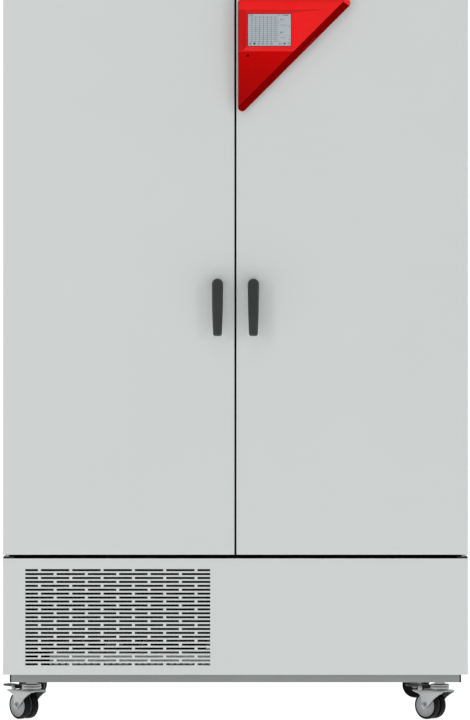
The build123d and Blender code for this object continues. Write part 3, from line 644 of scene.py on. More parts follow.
# Painted shade: the lower panel's top flange and its rear-facing faces take the black, so the gap above it and the
# slots read dark.
def panel_pick(c, n):
    return 1 if (c.z > 445.2 and abs(n.z) > 0.7 and c.y > -441) or (c.y > -443.2 and n.y > 0.7) else 0


redo("lower_front_panel", ["paint", "painted_shade_black"], panel_pick, bev=0.45)
redo("grille_rail", ["zinc"], bev=0.3)


# Painted shade: the bracket plates take the black paint so the gap beside the doors reads dark, and only the pivot
# sleeve is zinc.
def bracket_pick(c, n):
    d = math.hypot(abs(c.x) - 615.5, c.y + 430.0)
    on = d < 7.3 and not (446.4 < c.z < 450.6 or 2000.9 < c.z < 2005.1)
    return 1 if on else 0


redo("hinge_brackets", ["black_paint", "zinc"], bracket_pick, bev=0.5)
redo("castor_plates", ["zinc"], bev=0.5)


# ---------------------------------------------------------------------------
# cover screws: pan heads with a cross recess
# ---------------------------------------------------------------------------
def pan_head(bm, fm, r=4.2, h=2.0):
    segs = 32
    lathe(bm, [(r, 0.0), (r, 0.5), (r * 0.93, h * 0.7), (r * 0.75, h * 0.94), (r * 0.48, h), ], fm, segs)
    # cross recess: star-shaped well
    pts = []
    for k in range(4):
        a = math.pi / 2 * k
        for da, rr in ((-0.22, 0.46), (0.22, 0.46), (math.pi / 4, 0.16)):
            pts.append((r * rr * math.cos(a + da), r * rr * math.sin(a + da)))
    top = [fm @ Vector((x / 1000, y / 1000, h / 1000)) for x, y in pts]
    low = [fm @ Vector((x * 0.6 / 1000, y * 0.6 / 1000, (h - 1.1) / 1000)) for x, y in pts]
    rings(bm, [top, low], cap0=False)
    ring_r = r * 0.48
    outer = [bm.verts.new(fm @ Vector((ring_r * math.cos(2 * math.pi * i / 12) / 1000, ring_r * math.sin(2 * math.pi * i / 12) / 1000, h / 1000))) for i in range(12)]
    inner = [bm.verts.new(p) for p in top]
    for i in range(12):
        j = (i + 1) % 12
        bm.faces.new((outer[i], outer[j], inner[j], inner[i]))


bm = bmesh.new()
for sx in (-1, 1):
    for z in (200.0, 420.0, 800.0, 1200.0, 1600.0, 1960.0):
        fm = Matrix.Translation(P(sx * 612.0, 445.0, z)) @ Matrix.Rotation(math.radians(-90), 4, "X")
        pan_head(bm, fm)
put("cover_screws_v", bm, ["screw"], "cabinet", ("cover_screws",), smooth=40, weighted=False)


# ---------------------------------------------------------------------------
# controller: facets of the moulded front
# ---------------------------------------------------------------------------
def C(u, v, h):
    """Point that the camera sees at (u, v) of its picture, h mm in front of the doors."""
    f = 2.698 * (CAM_DIST - h) / CAM_DIST
    return P(-1.2 + (u - 235.0) * f, -445.0 - h, 981.4 + (360.0 - v) * f)


def outline_mm():
    """Rounded right triangle of the controller, against the clock seen from the front, from the top left."""
    x0, z1, leg, r, rl = 7.1, 1951.8, 315.2, 9.0, 11.0
    pts = []
    # top left corner, from the top edge to the left edge
    for k in range(6):
        a = math.radians(90 + 18 * k)
        pts.append((x0 + r + r * math.cos(a), z1 - r + r * math.sin(a), "tl"))
    zb = z1 - leg + rl / math.tan(math.radians(22.5))
    for k in range(10):
        a = math.radians(180 + 15 * k)
        pts.append((x0 + rl + rl * math.cos(a), zb + rl * math.sin(a), "b"))
    xr = x0 + leg - r / math.tan(math.radians(22.5))
    for k in range(10):
        a = math.radians(-45 + 15 * k)
        pts.append((xr + r * math.cos(a), z1 - r + r * math.sin(a), "tr"))
    return pts


def controller():
    bm = bmesh.new()
    V = {}

    def v(key, u, w, h):
        V[key] = bm.verts.new(C(u, w, h))
        return V[key]

    hm = 42.0
    hd = 37.6          # depth level of the display's plane
    HS = 344.8
    v("I0", 239.0, 1.6, hm)
    v("I1", HS - 1.6, 1.6, hm)
    v("I2", HS - 9.4, 9.4, hm)
    v("I3", HS - 50.5, 50.5, hm)
    v("I3a", HS - 51.3, 51.3, hm)
    v("I3b", HS - 51.7, 51.7, hm - 1.3)
    v("I4", 239.0, 105.8, 30.0)
    v("I5b", 239.0, 51.7, hm - 1.3)
    v("I5a", 239.0, 51.3, hm)
    v("I5", 239.0, 50.5, hm)
    v("I7", 239.0, 9.4, hm)
    v("S1", 243.0, 9.4, hm)
    v("S2", 246.7, 12.9, hd)
    v("B", 328.0, 9.4, hm)
    v("S3", 292.2, 12.9, hd)
    v("L1", 243.0, 50.5, hm)
    v("L2", 246.7, 46.4, hd)
    v("L3", 292.2, 46.4, hd)
    F = []

    def face(*ks, mi=0):
        f = bm.faces.new([V[k] for k in ks])
        f.material_index = mi
        F.append(f)
        return f

    # Painted shade: index 2 (strip left of the display, recess wall, step over it), index 3 (lower plane) and index 1
    # (display well) take the darker copies of the red.
    face("I0", "I7", "S1", "B", "I2", "I1")             # plain top strip
    face("I7", "I5", "L1", "S1", mi=2)                         # strip left of the display
    face("S1", "L1", "L2", "S2", mi=2)                         # recess, left wall
    face("S1", "S2", "S3", "B", mi=2)                          # step over the display
    face("S3", "L3", "I3", "B")                          # wide facet right of the display
    face("B", "I3", "I2")
    face("L1", "I5", "I5a", "I3a", "I3")
    face("L1", "I3", "L3", "L2")                         # bright ledge under the display
    face("I5a", "I5b", "I3b", "I3a", mi=3)                     # fine step
    face("I5b", "I4", "I3b", mi=3)                             # lower plane
    # display frame and well
    sx0, sx1, sz0, sz1 = 34.0, 149.1, 1825.8, 1911.2
    yd = -445.0 - hd

    def w(key, x, y, z):
        V[key] = bm.verts.new(P(x, y, z))

    for key, x, z in (("a", sx0, sz1), ("b", sx1, sz1), ("c", sx1, sz0), ("d", sx0, sz0)):
        gx = -1.6 if x == sx0 else 1.6
        gz = 1.6 if z == sz1 else -1.6
        w("o" + key, x + gx, yd, z + gz)
        w("m" + key, x + gx * 0.55, yd + 1.1, z + gz * 0.55)
        w("n" + key, x, yd + 1.6, z)
        w("i" + key, x, yd + 6.0, z)
    face("S2", "L2", "od", "oa")
    face("L2", "L3", "oc", "od")
    face("L3", "S3", "ob", "oc")
    face("S3", "S2", "oa", "ob")
    for a, b in ("ab", "bc", "cd", "da"):
        for r0, r1 in (("o", "m"), ("m", "n"), ("n", "i")):
            face(r0 + a, r0 + b, r1 + b, r1 + a, mi=1)
    face("ia", "ib", "ic", "id", mi=1)

    # rim of the side walls and base loop
    out = outline_mm()
    front_left = lambda z: hm if z > 1811.8 else max(29.0, hm - 1.3 - (1811.8 - z) / (1811.8 - 1663.0) * 10.7)
    hyp_c = 1951.8 - 315.2 - 7.1                         # Z - X along the hypotenuse

    def rim_h(x, z, tag):
        d = (x - z + hyp_c) / -math.sqrt(2.0)            # inside distance from the hypotenuse
        hh = 12.0 + 1.676 * max(0.0, d)
        ht = 36.4 + 0.66 * (1951.8 - z)
        hl = front_left(z) - 1.3 + 0.55 * (x - 7.1)
        return max(11.0, min(hh, ht, hl))

    rim = [bm.verts.new(P(x, -445.0 - rim_h(x, z, t), z)) for x, z, t in out]
    base = [bm.verts.new(P(x, -445.02, z)) for x, z, t in out]
    n = len(out)
    # Painted shade: the side walls, corner fans and edge facets take index 4, the darker bevel red.
    for i in range(n):
        j = (i + 1) % n
        f = bm.faces.new((rim[i], rim[j], base[j], base[i]))
        f.material_index = 4
    bm.faces.new(base)
    # fans at the corners and facets between rim and front
    idx = {t: [i for i, o in enumerate(out) if o[2] == t] for t in ("tl", "b", "tr")}
    for t, k in (("tl", "I0"), ("b", "I4"), ("tr", "I1")):
        ii = idx[t]
        for a, b in zip(ii, ii[1:]):
            bm.faces.new((V[k], rim[b], rim[a])).material_index = 4 if t == "b" else 0
    # left edge: rim from the top left down to the bottom corner
    a, b = idx["tl"][-1], idx["b"][0]
    ra, rb = rim[a], rim[b]
    zz = [(V[k].co.z) for k in ("I7", "I5", "I5a", "I5b")]
    chain = [ra]
    wall = [f for f in bm.faces if set(f.verts) == {ra, rb, base[a], base[b]}]
    bmesh.ops.delete(bm, geom=wall, context="FACES_ONLY")
    mids = []
    for zc, hh in zip(zz, (hm, hm, hm, hm - 1.3)):
        mids.append(bm.verts.new(Vector((P(7.1, 0, 0).x, P(0, -445.0 - (hh - 1.3), 0).y, zc))))
    chain = [ra] + mids + [rb]
    bm.faces.new(chain + [base[b], base[a]]).material_index = 4
    inner = [V[k] for k in ("I0", "I7", "I5", "I5a", "I5b", "I4")]
    for i in range(5):
        bm.faces.new((inner[i], chain[i], chain[i + 1], inner[i + 1])).material_index = 4
    # top edge
    a, b = idx["tr"][-1], idx["tl"][0]
    bm.faces.new((V["I1"], rim[a], rim[b], V["I0"]))
    # hypotenuse: rim from the bottom corner up to the top right
    a, b = idx["b"][-1], idx["tr"][0]
    ra, rb = rim[a], rim[b]
    wall = [f for f in bm.faces if set(f.verts) == {ra, rb, base[a], base[b]}]
    bmesh.ops.delete(bm, geom=wall, context="FACES_ONLY")
    names = ["I4", "I3b", "I3a", "I3", "I2", "I1"]
    p0, p1 = ra.co.copy(), rb.co.copy()
    q0, q1 = V["I4"].co, V["I1"].co
    d = (q1 - q0)
    mids = []
    for k in names[1:-1]:
        t = (V[k].co - q0).dot(d) / d.length_squared
        mids.append(bm.verts.new(p0.lerp(p1, t)))
    chain = [ra] + mids + [rb]
    bm.faces.new(chain + [base[b], base[a]]).material_index = 4
    for i in range(len(names) - 1):
        bm.faces.new((V[names[i]], chain[i], chain[i + 1], V[names[i + 1]])).material_index = 4
    bmesh.ops.remove_doubles(bm, verts=bm.verts, dist=1e-6)
    bmesh.ops.recalc_face_normals(bm, faces=bm.faces)
    # ease the sharp folds
    sharp = []
    for e in bm.edges:
        if len(e.link_faces) != 2:
            continue
        ang = e.calc_face_angle(0.0)
        ym = (e.verts[0].co.y + e.verts[1].co.y) / 2
        if ang > math.radians(7) and e.calc_length() > 0.002 and ym < P(0, -455.0, 0).y:
            if any(f.material_index == 1 for f in e.link_faces):
                continue
            sharp.append(e)
    return bm, sharp


bm, sharp = controller()
bmesh.ops.bevel(bm, geom=sharp, offset=0.0007, offset_type="OFFSET", segments=2, profile=0.5, affect="EDGES", clamp_overlap=True)
# no eased corner may stand in front of the front plane
for vert in bm.verts:
    vert.co.y = max(vert.co.y, P(0, -487.0, 0).y)
# pit under the display
# material indexes 1 to 4 are painted shade, darker copies of the one red moulding
ctrl = put("controller_housing_v", bm, ["red", "red_painted_shade_deep", "red_painted_shade_side", "red_painted_shade_low", "red_painted_shade_bevel"], "door_right", ("controller_housing",), smooth=20, weighted=False)


def cut_pit(ob):
    fm = Matrix.Translation(P(32.9, -486.5, 1799.3)) @ Matrix.Rotation(math.radians(90), 4, "X")
    cb = bmesh.new()
    prof = [(0.0, -3.2), (1.6, -3.0), (2.9, -2.3), (3.5, -1.2), (3.8, 0.0), (4.6, 0.8), (4.6, 4.0), (0.0, 4.0)]
    lathe(cb, prof, fm, 32)
    bmesh.ops.recalc_face_normals(cb, faces=cb.faces)
    me = bpy.data.meshes.new("pit_cutter")
    cb.to_mesh(me)
    cb.free()
    co = bpy.data.objects.new("pit_cutter", me)
    scene.collection.objects.link(co)
    md = ob.modifiers.new("pit", "BOOLEAN")
    md.object = co
    md.operation = "DIFFERENCE"
    md.solver = "EXACT"
    bpy.context.view_layer.update()
    new = bpy.data.meshes.new_from_object(ob.evaluated_get(bpy.context.evaluated_depsgraph_get()))
    ob.modifiers.remove(md)
    ob.data = new
    new.shade_smooth()
    new.set_sharp_from_angle(angle=math.radians(20))
    bpy.data.objects.remove(co)


cut_pit(ctrl)


# ---------------------------------------------------------------------------
# display: pale screen, plain generic diagram made of thin bars
# ---------------------------------------------------------------------------
def flat_mat(name, col, rough=0.35, emit=0.0):
    m = mat(name, col, rough=rough, var=0.02, scale=30, bump=0.02, bscale=600, edge=0.0)
    if emit:
        b = m.node_tree.nodes["Principled BSDF"]
        b.inputs["Emission Color"].default_value = (*col, 1)
        b.inputs["Emission Strength"].default_value = emit
    return m


M["scr"] = flat_mat("screen_pale", srgb(172, 180, 186), 0.30, 0.06)
M["scr_line"] = flat_mat("screen_line", srgb(84, 92, 102), 0.28, 0.05)
M["scr_soft"] = flat_mat("screen_soft", srgb(150, 158, 168), 0.28, 0.05)
M["scr_dark"] = flat_mat("screen_mark", srgb(12, 16, 22), 0.28, 0.0)
M["scr_mid"] = flat_mat("screen_text", srgb(40, 46, 56), 0.28, 0.0)
M["scr_violet"] = flat_mat("screen_violet", srgb(120, 96, 178), 0.28, 0.0)
M["scr_green"] = flat_mat("screen_green", srgb(52, 128, 62), 0.28, 0.0)
SCR_KEYS = ["scr", "scr_line", "scr_soft", "scr_dark", "scr_mid", "scr_violet", "scr_green"]


def display():
    hs = 36.2
    bm = bmesh.new()
    x0, x1, z0, z1 = 34.0, 149.1, 1825.8, 1911.2
    ys = -445.0 - hs
    box(bm, x0 + 0.15, x1 - 0.15, ys, ys + 4.2, z0 + 0.15, z1 - 0.15, 0)

    def bar(u0, v0, u1, v1, mi, t=0.12, lift=0.0):
        a, b = C(u0, v1, hs), C(u1, v0, hs)
        box(bm, a.x * 1000, b.x * 1000, ys - t - lift, ys - lift + 0.01, a.z * 1000, b.z * 1000, mi)

    def ring(u, v_, r0, r1, mi, n=20, a0=0.0, a1=360.0, t=0.14):
        """Flat ring segment, or a disc when r0 is zero; radii in picture units."""
        c = C(u, v_, hs)
        k = 2.6876
        pts_o, pts_i = [], []
        full = abs(a1 - a0) >= 360
        m = n if full else n + 1
        for i in range(m):
            a = math.radians(a0 + (a1 - a0) * i / n)
            pts_o.append((math.cos(a) * r1 * k / 1000, math.sin(a) * r1 * k / 1000))
            pts_i.append((math.cos(a) * r0 * k / 1000, math.sin(a) * r0 * k / 1000))
        yf = P(0, ys - t, 0).y
        yb = P(0, ys + 0.01, 0).y
        of = [bm.verts.new((c.x + x, yf, c.z + z)) for x, z in pts_o]
        ob_ = [bm.verts.new((c.x + x, yb, c.z + z)) for x, z in pts_o]
        if r0 < 1e-6:
            bm.faces.new(of).material_index = mi
            bm.faces.new(list(reversed(ob_))).material_index = mi
            for i in range(m):
                j = (i + 1) % m
                bm.faces.new((of[i], ob_[i], ob_[j], of[j])).material_index = mi
            return
        if_ = [bm.verts.new((c.x + x, yf, c.z + z)) for x, z in pts_i]
        ib = [bm.verts.new((c.x + x, yb, c.z + z)) for x, z in pts_i]
        rngi = range(m) if full else range(m - 1)
        for i in rngi:
            j = (i + 1) % m
            for q in ((of[i], of[j], if_[j], if_[i]), (ob_[j], ob_[i], ib[i], ib[j]), (of[j], of[i], ob_[i], ob_[j]), (if_[i], if_[j], ib[j], ib[i])):
                bm.faces.new(q).material_index = mi
        if not full:
            for i in (0, m - 1):
                bm.faces.new((of[i], if_[i], ib[i], ob_[i])).material_index = mi

    # chart field: light columns and rows
    gu0, gu1, gv0, gv1 = 249.2, 277.4, 16.2, 41.8
    for i in range(8):
        u = 251.9 + i * 3.86
        if u < gu1:
            bar(u - 0.16, gv0, u + 0.16, gv1, 1)
    for j in range(13):
        v_ = gv0 + 0.9 + j * 2.02
        if v_ < gv1:
            bar(gu0, v_ - 0.13, gu1, v_ + 0.13, 1, 0.10)
    bar(277.3, gv0, 277.6, 42.0, 2, 0.14)
    bar(248.4, 15.9, 290.6, 16.06, 2, 0.08)
    bar(248.4, 41.95, 290.6, 42.1, 2, 0.08)

    # seven-bar digits
    SEG = {"0": "abcdef", "1": "bc", "2": "abged", "3": "abgcd", "4": "fgbc", "5": "afgcd", "6": "afgedc", "7": "abc",
           "8": "abcdefg", "9": "abcdfg", "-": "g"}

    def digit(ch, u, v_, w_, h_, t, mi):
        if ch == ".":
            bar(u, v_ + h_ - t, u + t, v_ + h_, mi)
            return t * 2.2
        if ch == ":":
            bar(u, v_ + h_ * 0.28, u + t, v_ + h_ * 0.28 + t, mi)
            bar(u, v_ + h_ * 0.68, u + t, v_ + h_ * 0.68 + t, mi)
            return t * 2.2
        seg = {
            "a": (u, v_, u + w_, v_ + t), "g": (u, v_ + h_ / 2 - t / 2, u + w_, v_ + h_ / 2 + t / 2),
            "d": (u, v_ + h_ - t, u + w_, v_ + h_), "f": (u, v_, u + t, v_ + h_ / 2), "b": (u + w_ - t, v_, u + w_, v_ + h_ / 2),
            "e": (u, v_ + h_ / 2, u + t, v_ + h_), "c": (u + w_ - t, v_ + h_ / 2, u + w_, v_ + h_),
        }
        for s_ in SEG[ch]:
            a, b, c, d = seg[s_]
            bar(a, b, c, d, mi)
        return w_ * 1.35

    def text(s_, u, v_, w_, h_, t, mi):
        for ch in s_:
            u += digit(ch, u, v_, w_, h_, t, mi) if ch != " " else w_

    text("12:45", 249.9, 14.75, 0.62, 0.95, 0.16, 4)
    for u in (278.6, 282.6):
        ring(u, 15.2, 0.28, 0.5, 4, 14)
    for k in range(3):
        bar(284.3 + k * 1.5, 14.8, 285.3 + k * 1.5, 15.6, 4)
    text("22.0", 280.0, 18.6, 0.72, 1.7, 0.3, 5)
    text("65.0", 280.0, 31.5, 0.72, 1.7, 0.3, 6)
    for v_, mi in ((22.1, 4), (35.1, 5), (40.8, 6)):
        bar(277.9, v_ - 0.25, 279.0, v_ + 0.25, mi)
    for u, v_, n in ((280.4, 25.0, 7), (280.4, 37.3, 5)):
        for k in range(n):
            bar(u + k * 0.95, v_, u + 0.62 + k * 0.95, v_ + 0.34, 4)
    for u, v_ in ((282.9, 26.1), (282.6, 38.6)):
        for k in range(3):
            bar(u + k * 0.9, v_, u + 0.55 + k * 0.9, v_ + 0.28, 2)
    for v_ in (26.5, 39.4):
        ring(289.3, v_, 0.0, 0.42, 4, 14)
    # row of plain round symbols
    for i, u in enumerate((250.5, 254.5, 258.7, 262.9, 267.2, 271.5)):
        ring(u, 43.6, 0.95, 1.2, 3 if i == 1 else 4, 24)
        if i == 0:
            for k in (-0.4, 0.0, 0.4):
                bar(u - 0.6, 43.52 + k, u + 0.6, 43.68 + k, 3)
        elif i == 1:
            ring(u, 43.6, 0.0, 0.85, 3, 18)
        elif i == 2:
            bar(u - 0.1, 42.95, u + 0.1, 43.7, 3)
            bar(u - 0.1, 43.55, u + 0.5, 43.75, 3)
        elif i == 3:
            bar(u - 0.65, 43.5, u + 0.65, 43.72, 3)
            bar(u - 0.35, 43.1, u - 0.15, 44.1, 3)
            bar(u + 0.15, 43.1, u + 0.35, 44.1, 3)
        elif i == 4:
            bar(u - 0.12, 42.9, u + 0.12, 43.6, 3)
        else:
            ring(u, 43.6, 0.25, 0.5, 3, 16)
    ring(280.2, 43.6, 0.95, 1.25, 3, 24)
    ring(284.5, 43.6, 0.0, 0.95, 3, 20)
    ring(288.8, 43.6, 0.95, 1.25, 4, 24, a0=-70, a1=180)
    bar(288.2, 43.0, 288.4, 43.9, 4)
    return bm


put("controller_display_v", display(), SCR_KEYS, "door_right", ("controller_display",), smooth=30, weighted=False)


# small cover on the slanted side, taken over with softened edges, in the painted-shade copy of the red
redo("controller_flap", ["red_painted_shade_deep"], bev=0.35, segs=2, smooth=30)


# ---------------------------------------------------------------------------
# castors
# ---------------------------------------------------------------------------
CASTORS = {
    "fl": (-557.0, -330.0, -0.667, 0.745),
    "fr": (558.0, -330.0, -0.744, 0.668),
    "rl": (-557.0, 300.0, -0.985, 0.174),
    "rr": (558.0, 300.0, -0.985, 0.174),
}
TRAIL, WHEEL_Z = 33.0, 37.5
M["pedal"] = mat("pedal_steel", srgb(52, 54, 55), rough=0.4, metal=0.35, var=0.15, scale=30, bump=0.2, bscale=900,
                 edge=0.6, edge_col=srgb(150, 151, 151), edge_r=0.0012)
# Painted shade: a darker copy of the zinc for the rear castors, which stand in the shade under the cabinet.
M["zinc_painted_shade"] = mat("zinc_shaded", srgb(120, 122, 122), rough=0.42, metal=0.7, var=0.12, scale=28, bump=0.18,
                     bscale=500, edge=0.35, edge_col=srgb(190, 191, 191))


def castor_frame(c):
    x, y, ux, uy = CASTORS[c]
    a = math.atan2(uy, ux)
    return Matrix.Translation(P(x, y, 0)) @ Matrix.Rotation(a, 4, "Z")


def plate(bm, prof, v0, v1, fm, bw=0.7, mi=0):
    """Sheet cut to a profile in the castor's (u, z) plane, between v0 and v1, with eased edges."""
    tmp = bmesh.new()
    lo = [tmp.verts.new(Vector((u / 1000, v0 / 1000, z / 1000))) for u, z in prof]
    hi = [tmp.verts.new(Vector((u / 1000, v1 / 1000, z / 1000))) for u, z in prof]
    n = len(prof)
    tmp.faces.new(lo)
    tmp.faces.new(list(reversed(hi)))
    for i in range(n):
        j = (i + 1) % n
        tmp.faces.new((lo[j], lo[i], hi[i], hi[j]))
    bmesh.ops.recalc_face_normals(tmp, faces=tmp.faces)
    if bw:
        ed = [e for e in tmp.edges if len(e.link_faces) == 2 and e.calc_face_angle(0.0) > math.radians(40)]
        bmesh.ops.bevel(tmp, geom=ed, offset=bw / 1000, offset_type="OFFSET", segments=2, profile=0.5, affect="EDGES", clamp_overlap=True)
    for f in tmp.faces:
        f.material_index = mi
    tmp.transform(fm)
    me = bpy.data.meshes.new("tmp_plate")
    tmp.to_mesh(me)
    tmp.free()
    bm.from_mesh(me)
    bpy.data.meshes.remove(me)


def smooth_profile(pts, r, n=4):
    """Corners of a polygon rounded with radius r (mm), as far as the sides allow."""
    out = []
    m = len(pts)
    for i in range(m):
        p0, p, p1 = Vector(pts[i - 1]), Vector(pts[i]), Vector(pts[(i + 1) % m])
        a, b = (p0 - p), (p1 - p)
        la, lb = a.length, b.length
        a.normalize()
        b.normalize()
        ang = a.angle(b)
        if ang > math.radians(172):
            out.append(tuple(p))
            continue
        t = min(r / math.tan(ang / 2), la * 0.45, lb * 0.45)
        q0, q1 = p + a * t, p + b * t
        for k in range(n + 1):
            s = k / n
            q = q0 * (1 - s) ** 2 + p * 2 * s * (1 - s) + q1 * s ** 2
            out.append(tuple(q))
    return out


def hexnut(bm, fm, r, h0, h1, mi=0):
    """Hexagon head with its chamfered face, along local z of fm."""
    loops = []
    for h, k in ((h0, 1.0), (h0 + (h1 - h0) * 0.78, 1.0), (h1, 0.86)):
        loops.append([fm @ Vector((r * k * math.cos(math.pi / 3 * i) / 1000, r * k * math.sin(math.pi / 3 * i) / 1000, h / 1000)) for i in range(6)])
    rings(bm, loops, mi)


def castor(c):
    fm = castor_frame(c)
    front = c in ("fl", "fr")
    # rear castors take the painted-shade zinc
    zk = "zinc" if front else "zinc_painted_shade"
    bm = bmesh.new()
    # swivel head with its ball race
    prof = [(14.8, 96.4), (16.0, 97.0), (23.5, 97.0), (25.6, 96.5), (26.5, 95.4), (26.5, 93.4), (25.4, 92.6), (24.9, 91.6),
            (25.3, 90.4), (26.4, 89.6), (26.7, 87.6), (26.4, 85.4), (25.2, 84.6), (24.7, 83.4), (25.4, 82.2), (26.6, 81.4),
            (27.2, 80.9), (6.1, 80.9), (6.1, 96.4), (14.8, 96.4)]
    lathe(bm, prof, fm, 56)
    # pressed fork: bridge and two legs that run out into a tab over the wheels
    leg = [(-29, 81), (38, 81), (66, 79.4), (73.5, 78.6), (75.0, 76.4), (68, 74), (50, 68.5), (44.5, 60), (42.6, 49),
           (43.0, 37.5), (41.5, 31.5), (36.5, 27.6), (30.5, 28.0), (24.5, 32.5), (14, 42.5), (-4, 60), (-19, 69.5), (-28, 73.5), (-29.5, 77)]
    leg = smooth_profile(leg, 4.0)
    for e in (-1, 1):
        plate(bm, leg, e * 25.0, e * 28.0, fm, 0.75)
    brg = smooth_profile([(-29, 77.2), (-29, 81), (41, 81), (41, 77.2)], 1.2)
    plate(bm, brg, -27.4, 27.4, fm, 0.5)
    # rib pressed into each leg around the axle
    for e in (-1, 1):
        am = fm @ Matrix.Translation((TRAIL / 1000, 0, WHEEL_Z / 1000)) @ Matrix.Rotation(math.radians(-90 * e), 4, "X")
        lathe(bm, [(4.0, 27.6), (8.8, 27.8), (9.6, 28.6), (8.6, 29.4), (4.0, 29.5)], am, 36)
        hexnut(bm, am, 6.9, 29.3, 33.4)
        lathe(bm, [(3.4, 33.2), (3.4, 34.2), (2.6, 34.7), (0.0, 34.7)], am, 20)
    # axle between the legs
    am = fm @ Matrix.Translation((TRAIL / 1000, 0, WHEEL_Z / 1000)) @ Matrix.Rotation(math.radians(-90), 4, "X")
    lathe(bm, [(0.0, -29.0), (3.95, -29.0), (3.95, 29.0), (0.0, 29.0)], am, 24)
    if front:
        for e in (-1, 1):
            ear = smooth_profile([(40, 78.5), (40, 88), (43, 91), (51, 91), (54, 88), (54, 78.5)], 2.0)
            plate(bm, ear, e * 25.0, e * 28.0, fm, 0.5)
            em = fm @ Matrix.Translation((47 / 1000, 0, 84 / 1000)) @ Matrix.Rotation(math.radians(-90 * e), 4, "X")
            lathe(bm, [(2.4, 27.6), (4.2, 28.1), (4.2, 28.9), (3.4, 29.6), (0.0, 29.8)], em, 24)
    put(f"castor_{c}_fork_v", bm, [zk], f"castor_{c}", (f"castor_{c}_fork",), smooth=32, weighted=False)

    # two wheels: moulded hub disc with a lip, rounded tyre
    bm = bmesh.new()
    hub_in = [(4.05, 4.0), (11.0, 4.0), (11.0, 5.6), (28.6, 5.6), (30.2, 4.2), (31.0, 3.7)]
    tyre = [(31.0, 3.7), (34.2, 3.3), (35.8, 3.8), (36.9, 5.0), (37.4, 6.6), (37.5, 8.6), (37.5, 18.0), (37.4, 20.0),
            (36.9, 21.6), (35.8, 22.8), (34.2, 23.3), (31.6, 22.8), (30.8, 22.2)]
    hub_out = [(30.8, 22.2), (30.6, 23.0), (30.0, 23.35), (29.2, 23.3), (28.6, 22.7), (28.2, 21.6), (27.6, 21.2), (14.0, 20.9),
               (12.6, 21.4), (12.0, 22.8), (11.0, 23.3), (7.0, 23.3), (6.6, 22.9), (4.05, 22.9), (4.05, 4.0)]
    for e in (-1, 1):
        am = fm @ Matrix.Translation((TRAIL / 1000, 0, WHEEL_Z / 1000)) @ Matrix.Rotation(math.radians(-90 * e), 4, "X")
        prof = hub_in + tyre[1:] + hub_out[1:]
        mis = [0] * (len(hub_in) - 1) + [1] * (len(tyre) - 1) + [0] * (len(hub_out) - 1)
        lathe(bm, prof, am, 72, mis=mis)
    # Painted shade: the rear castors' hubs take the black tyre material, as they lie unlit behind the front castors.
    put(f"castor_{c}_wheels_v", bm, ["hub" if front else "tyre", "tyre"], f"wheels_{c}", (f"castor_{c}_wheels",), smooth=38, weighted=False)

    if front:
        bm = bmesh.new()
        top = smooth_profile([(50, -15.5), (104, -16), (112, -10), (112, 10), (104, 16), (50, 15.5)], 4.0)
        loops = []
        for d, z in ((0.9, 85.9), (0.0, 86.8), (0.0, 89.6), (0.7, 90.7), (1.6, 91.0)):
            loop = []
            cxm = 81.0
            for u, v_ in top:
                ku = (31.0 - d) / 31.0
                kv = (16.0 - d) / 16.0
                loop.append(fm @ Vector(((cxm + (u - cxm) * ku) / 1000, v_ * kv / 1000, z / 1000)))
            loops.append(loop)
        rings(bm, loops)
        for k in range(5):
            plate(bm, [(86 + k * 4.6, 90.8), (88.2 + k * 4.6, 90.8), (87.9 + k * 4.6, 91.6), (86.3 + k * 4.6, 91.6)], -10.5, 10.5, fm, 0.0)
        arm = smooth_profile([(41, 81.5), (41, 88), (44, 90), (53, 90.4), (56, 88.4), (54, 86.2), (51, 81)], 1.6)
        for e in (-1, 1):
            plate(bm, arm, e * 21.6, e * 24.6, fm, 0.6)
        web = smooth_profile([(50.5, 83), (50.5, 90), (55, 90.4), (56, 87)], 0.8)
        plate(bm, web, -24.0, 24.0, fm, 0.4)
        em = fm @ Matrix.Translation((47 / 1000, 0, 84 / 1000)) @ Matrix.Rotation(math.radians(-90), 4, "X")
        lathe(bm, [(0.0, -27.8), (2.45, -27.8), (2.45, 27.8), (0.0, 27.8)], em, 20)
        put(f"castor_{c}_brake_v", bm, ["pedal"], f"brake_{c}", (f"castor_{c}_brake",), smooth=32, weighted=False)


for c in CASTORS:
    castor(c)


# ---------------------------------------------------------------------------
# chamber fittings
# ---------------------------------------------------------------------------
def wire_rack():
    bm = bmesh.new()
    for s in (-1, 1):
        for z in (600.0, 1190.0):
            xa, xb, ya, yb = s * 15.0, s * 473.0, -327.0, 219.0
            r = 12.0
            x0, x1 = min(xa, xb), max(xa, xb)
            loop = []
            for cxx, cyy, a0 in ((x1 - r, yb - r, 0), (x0 + r, yb - r, 90), (x0 + r, ya + r, 180), (x1 - r, ya + r, 270)):
                for k in range(6):
                    a = math.radians(a0 + 18 * k)
                    loop.append((cxx + r * math.cos(a), cyy + r * math.sin(a)))
            n = len(loop)
            secs = []
            for i, (px, py) in enumerate(loop):
                qx, qy = loop[i - 1]
                wx, wy = loop[(i + 1) % n]
                d = Vector((wx - qx, wy - qy, 0)).normalized()
                nrm = Vector((d.y, -d.x, 0))
                secs.append([bm.verts.new(P(px, py, z) + (nrm * math.cos(t) + Vector((0, 0, 1)) * math.sin(t)) * 0.0026) for t in [2 * math.pi * k / 8 for k in range(8)]])
            for i in range(n):
                a, b = secs[i], secs[(i + 1) % n]
                for k in range(8):
                    bm.faces.new((a[k], a[(k + 1) % 8], b[(k + 1) % 8], b[k]))
            m = 23
            for i in range(1, m + 1):
                x = x0 + (x1 - x0) * i / (m + 1)
                wire(bm, [P(x, ya + 0.5, z + 1.4), P(x, yb - 0.5, z + 1.4)], 1.4, 6)
            for y in (-190.0, -54.0, 82.0):
                wire(bm, [P(x0 + 0.5, y, z - 0.4), P(x1 - 0.5, y, z - 0.4)], 2.0, 6)
    put("wire_racks_v", bm, ["steel"], "cabinet", ("wire_racks",), smooth=50, weighted=False)


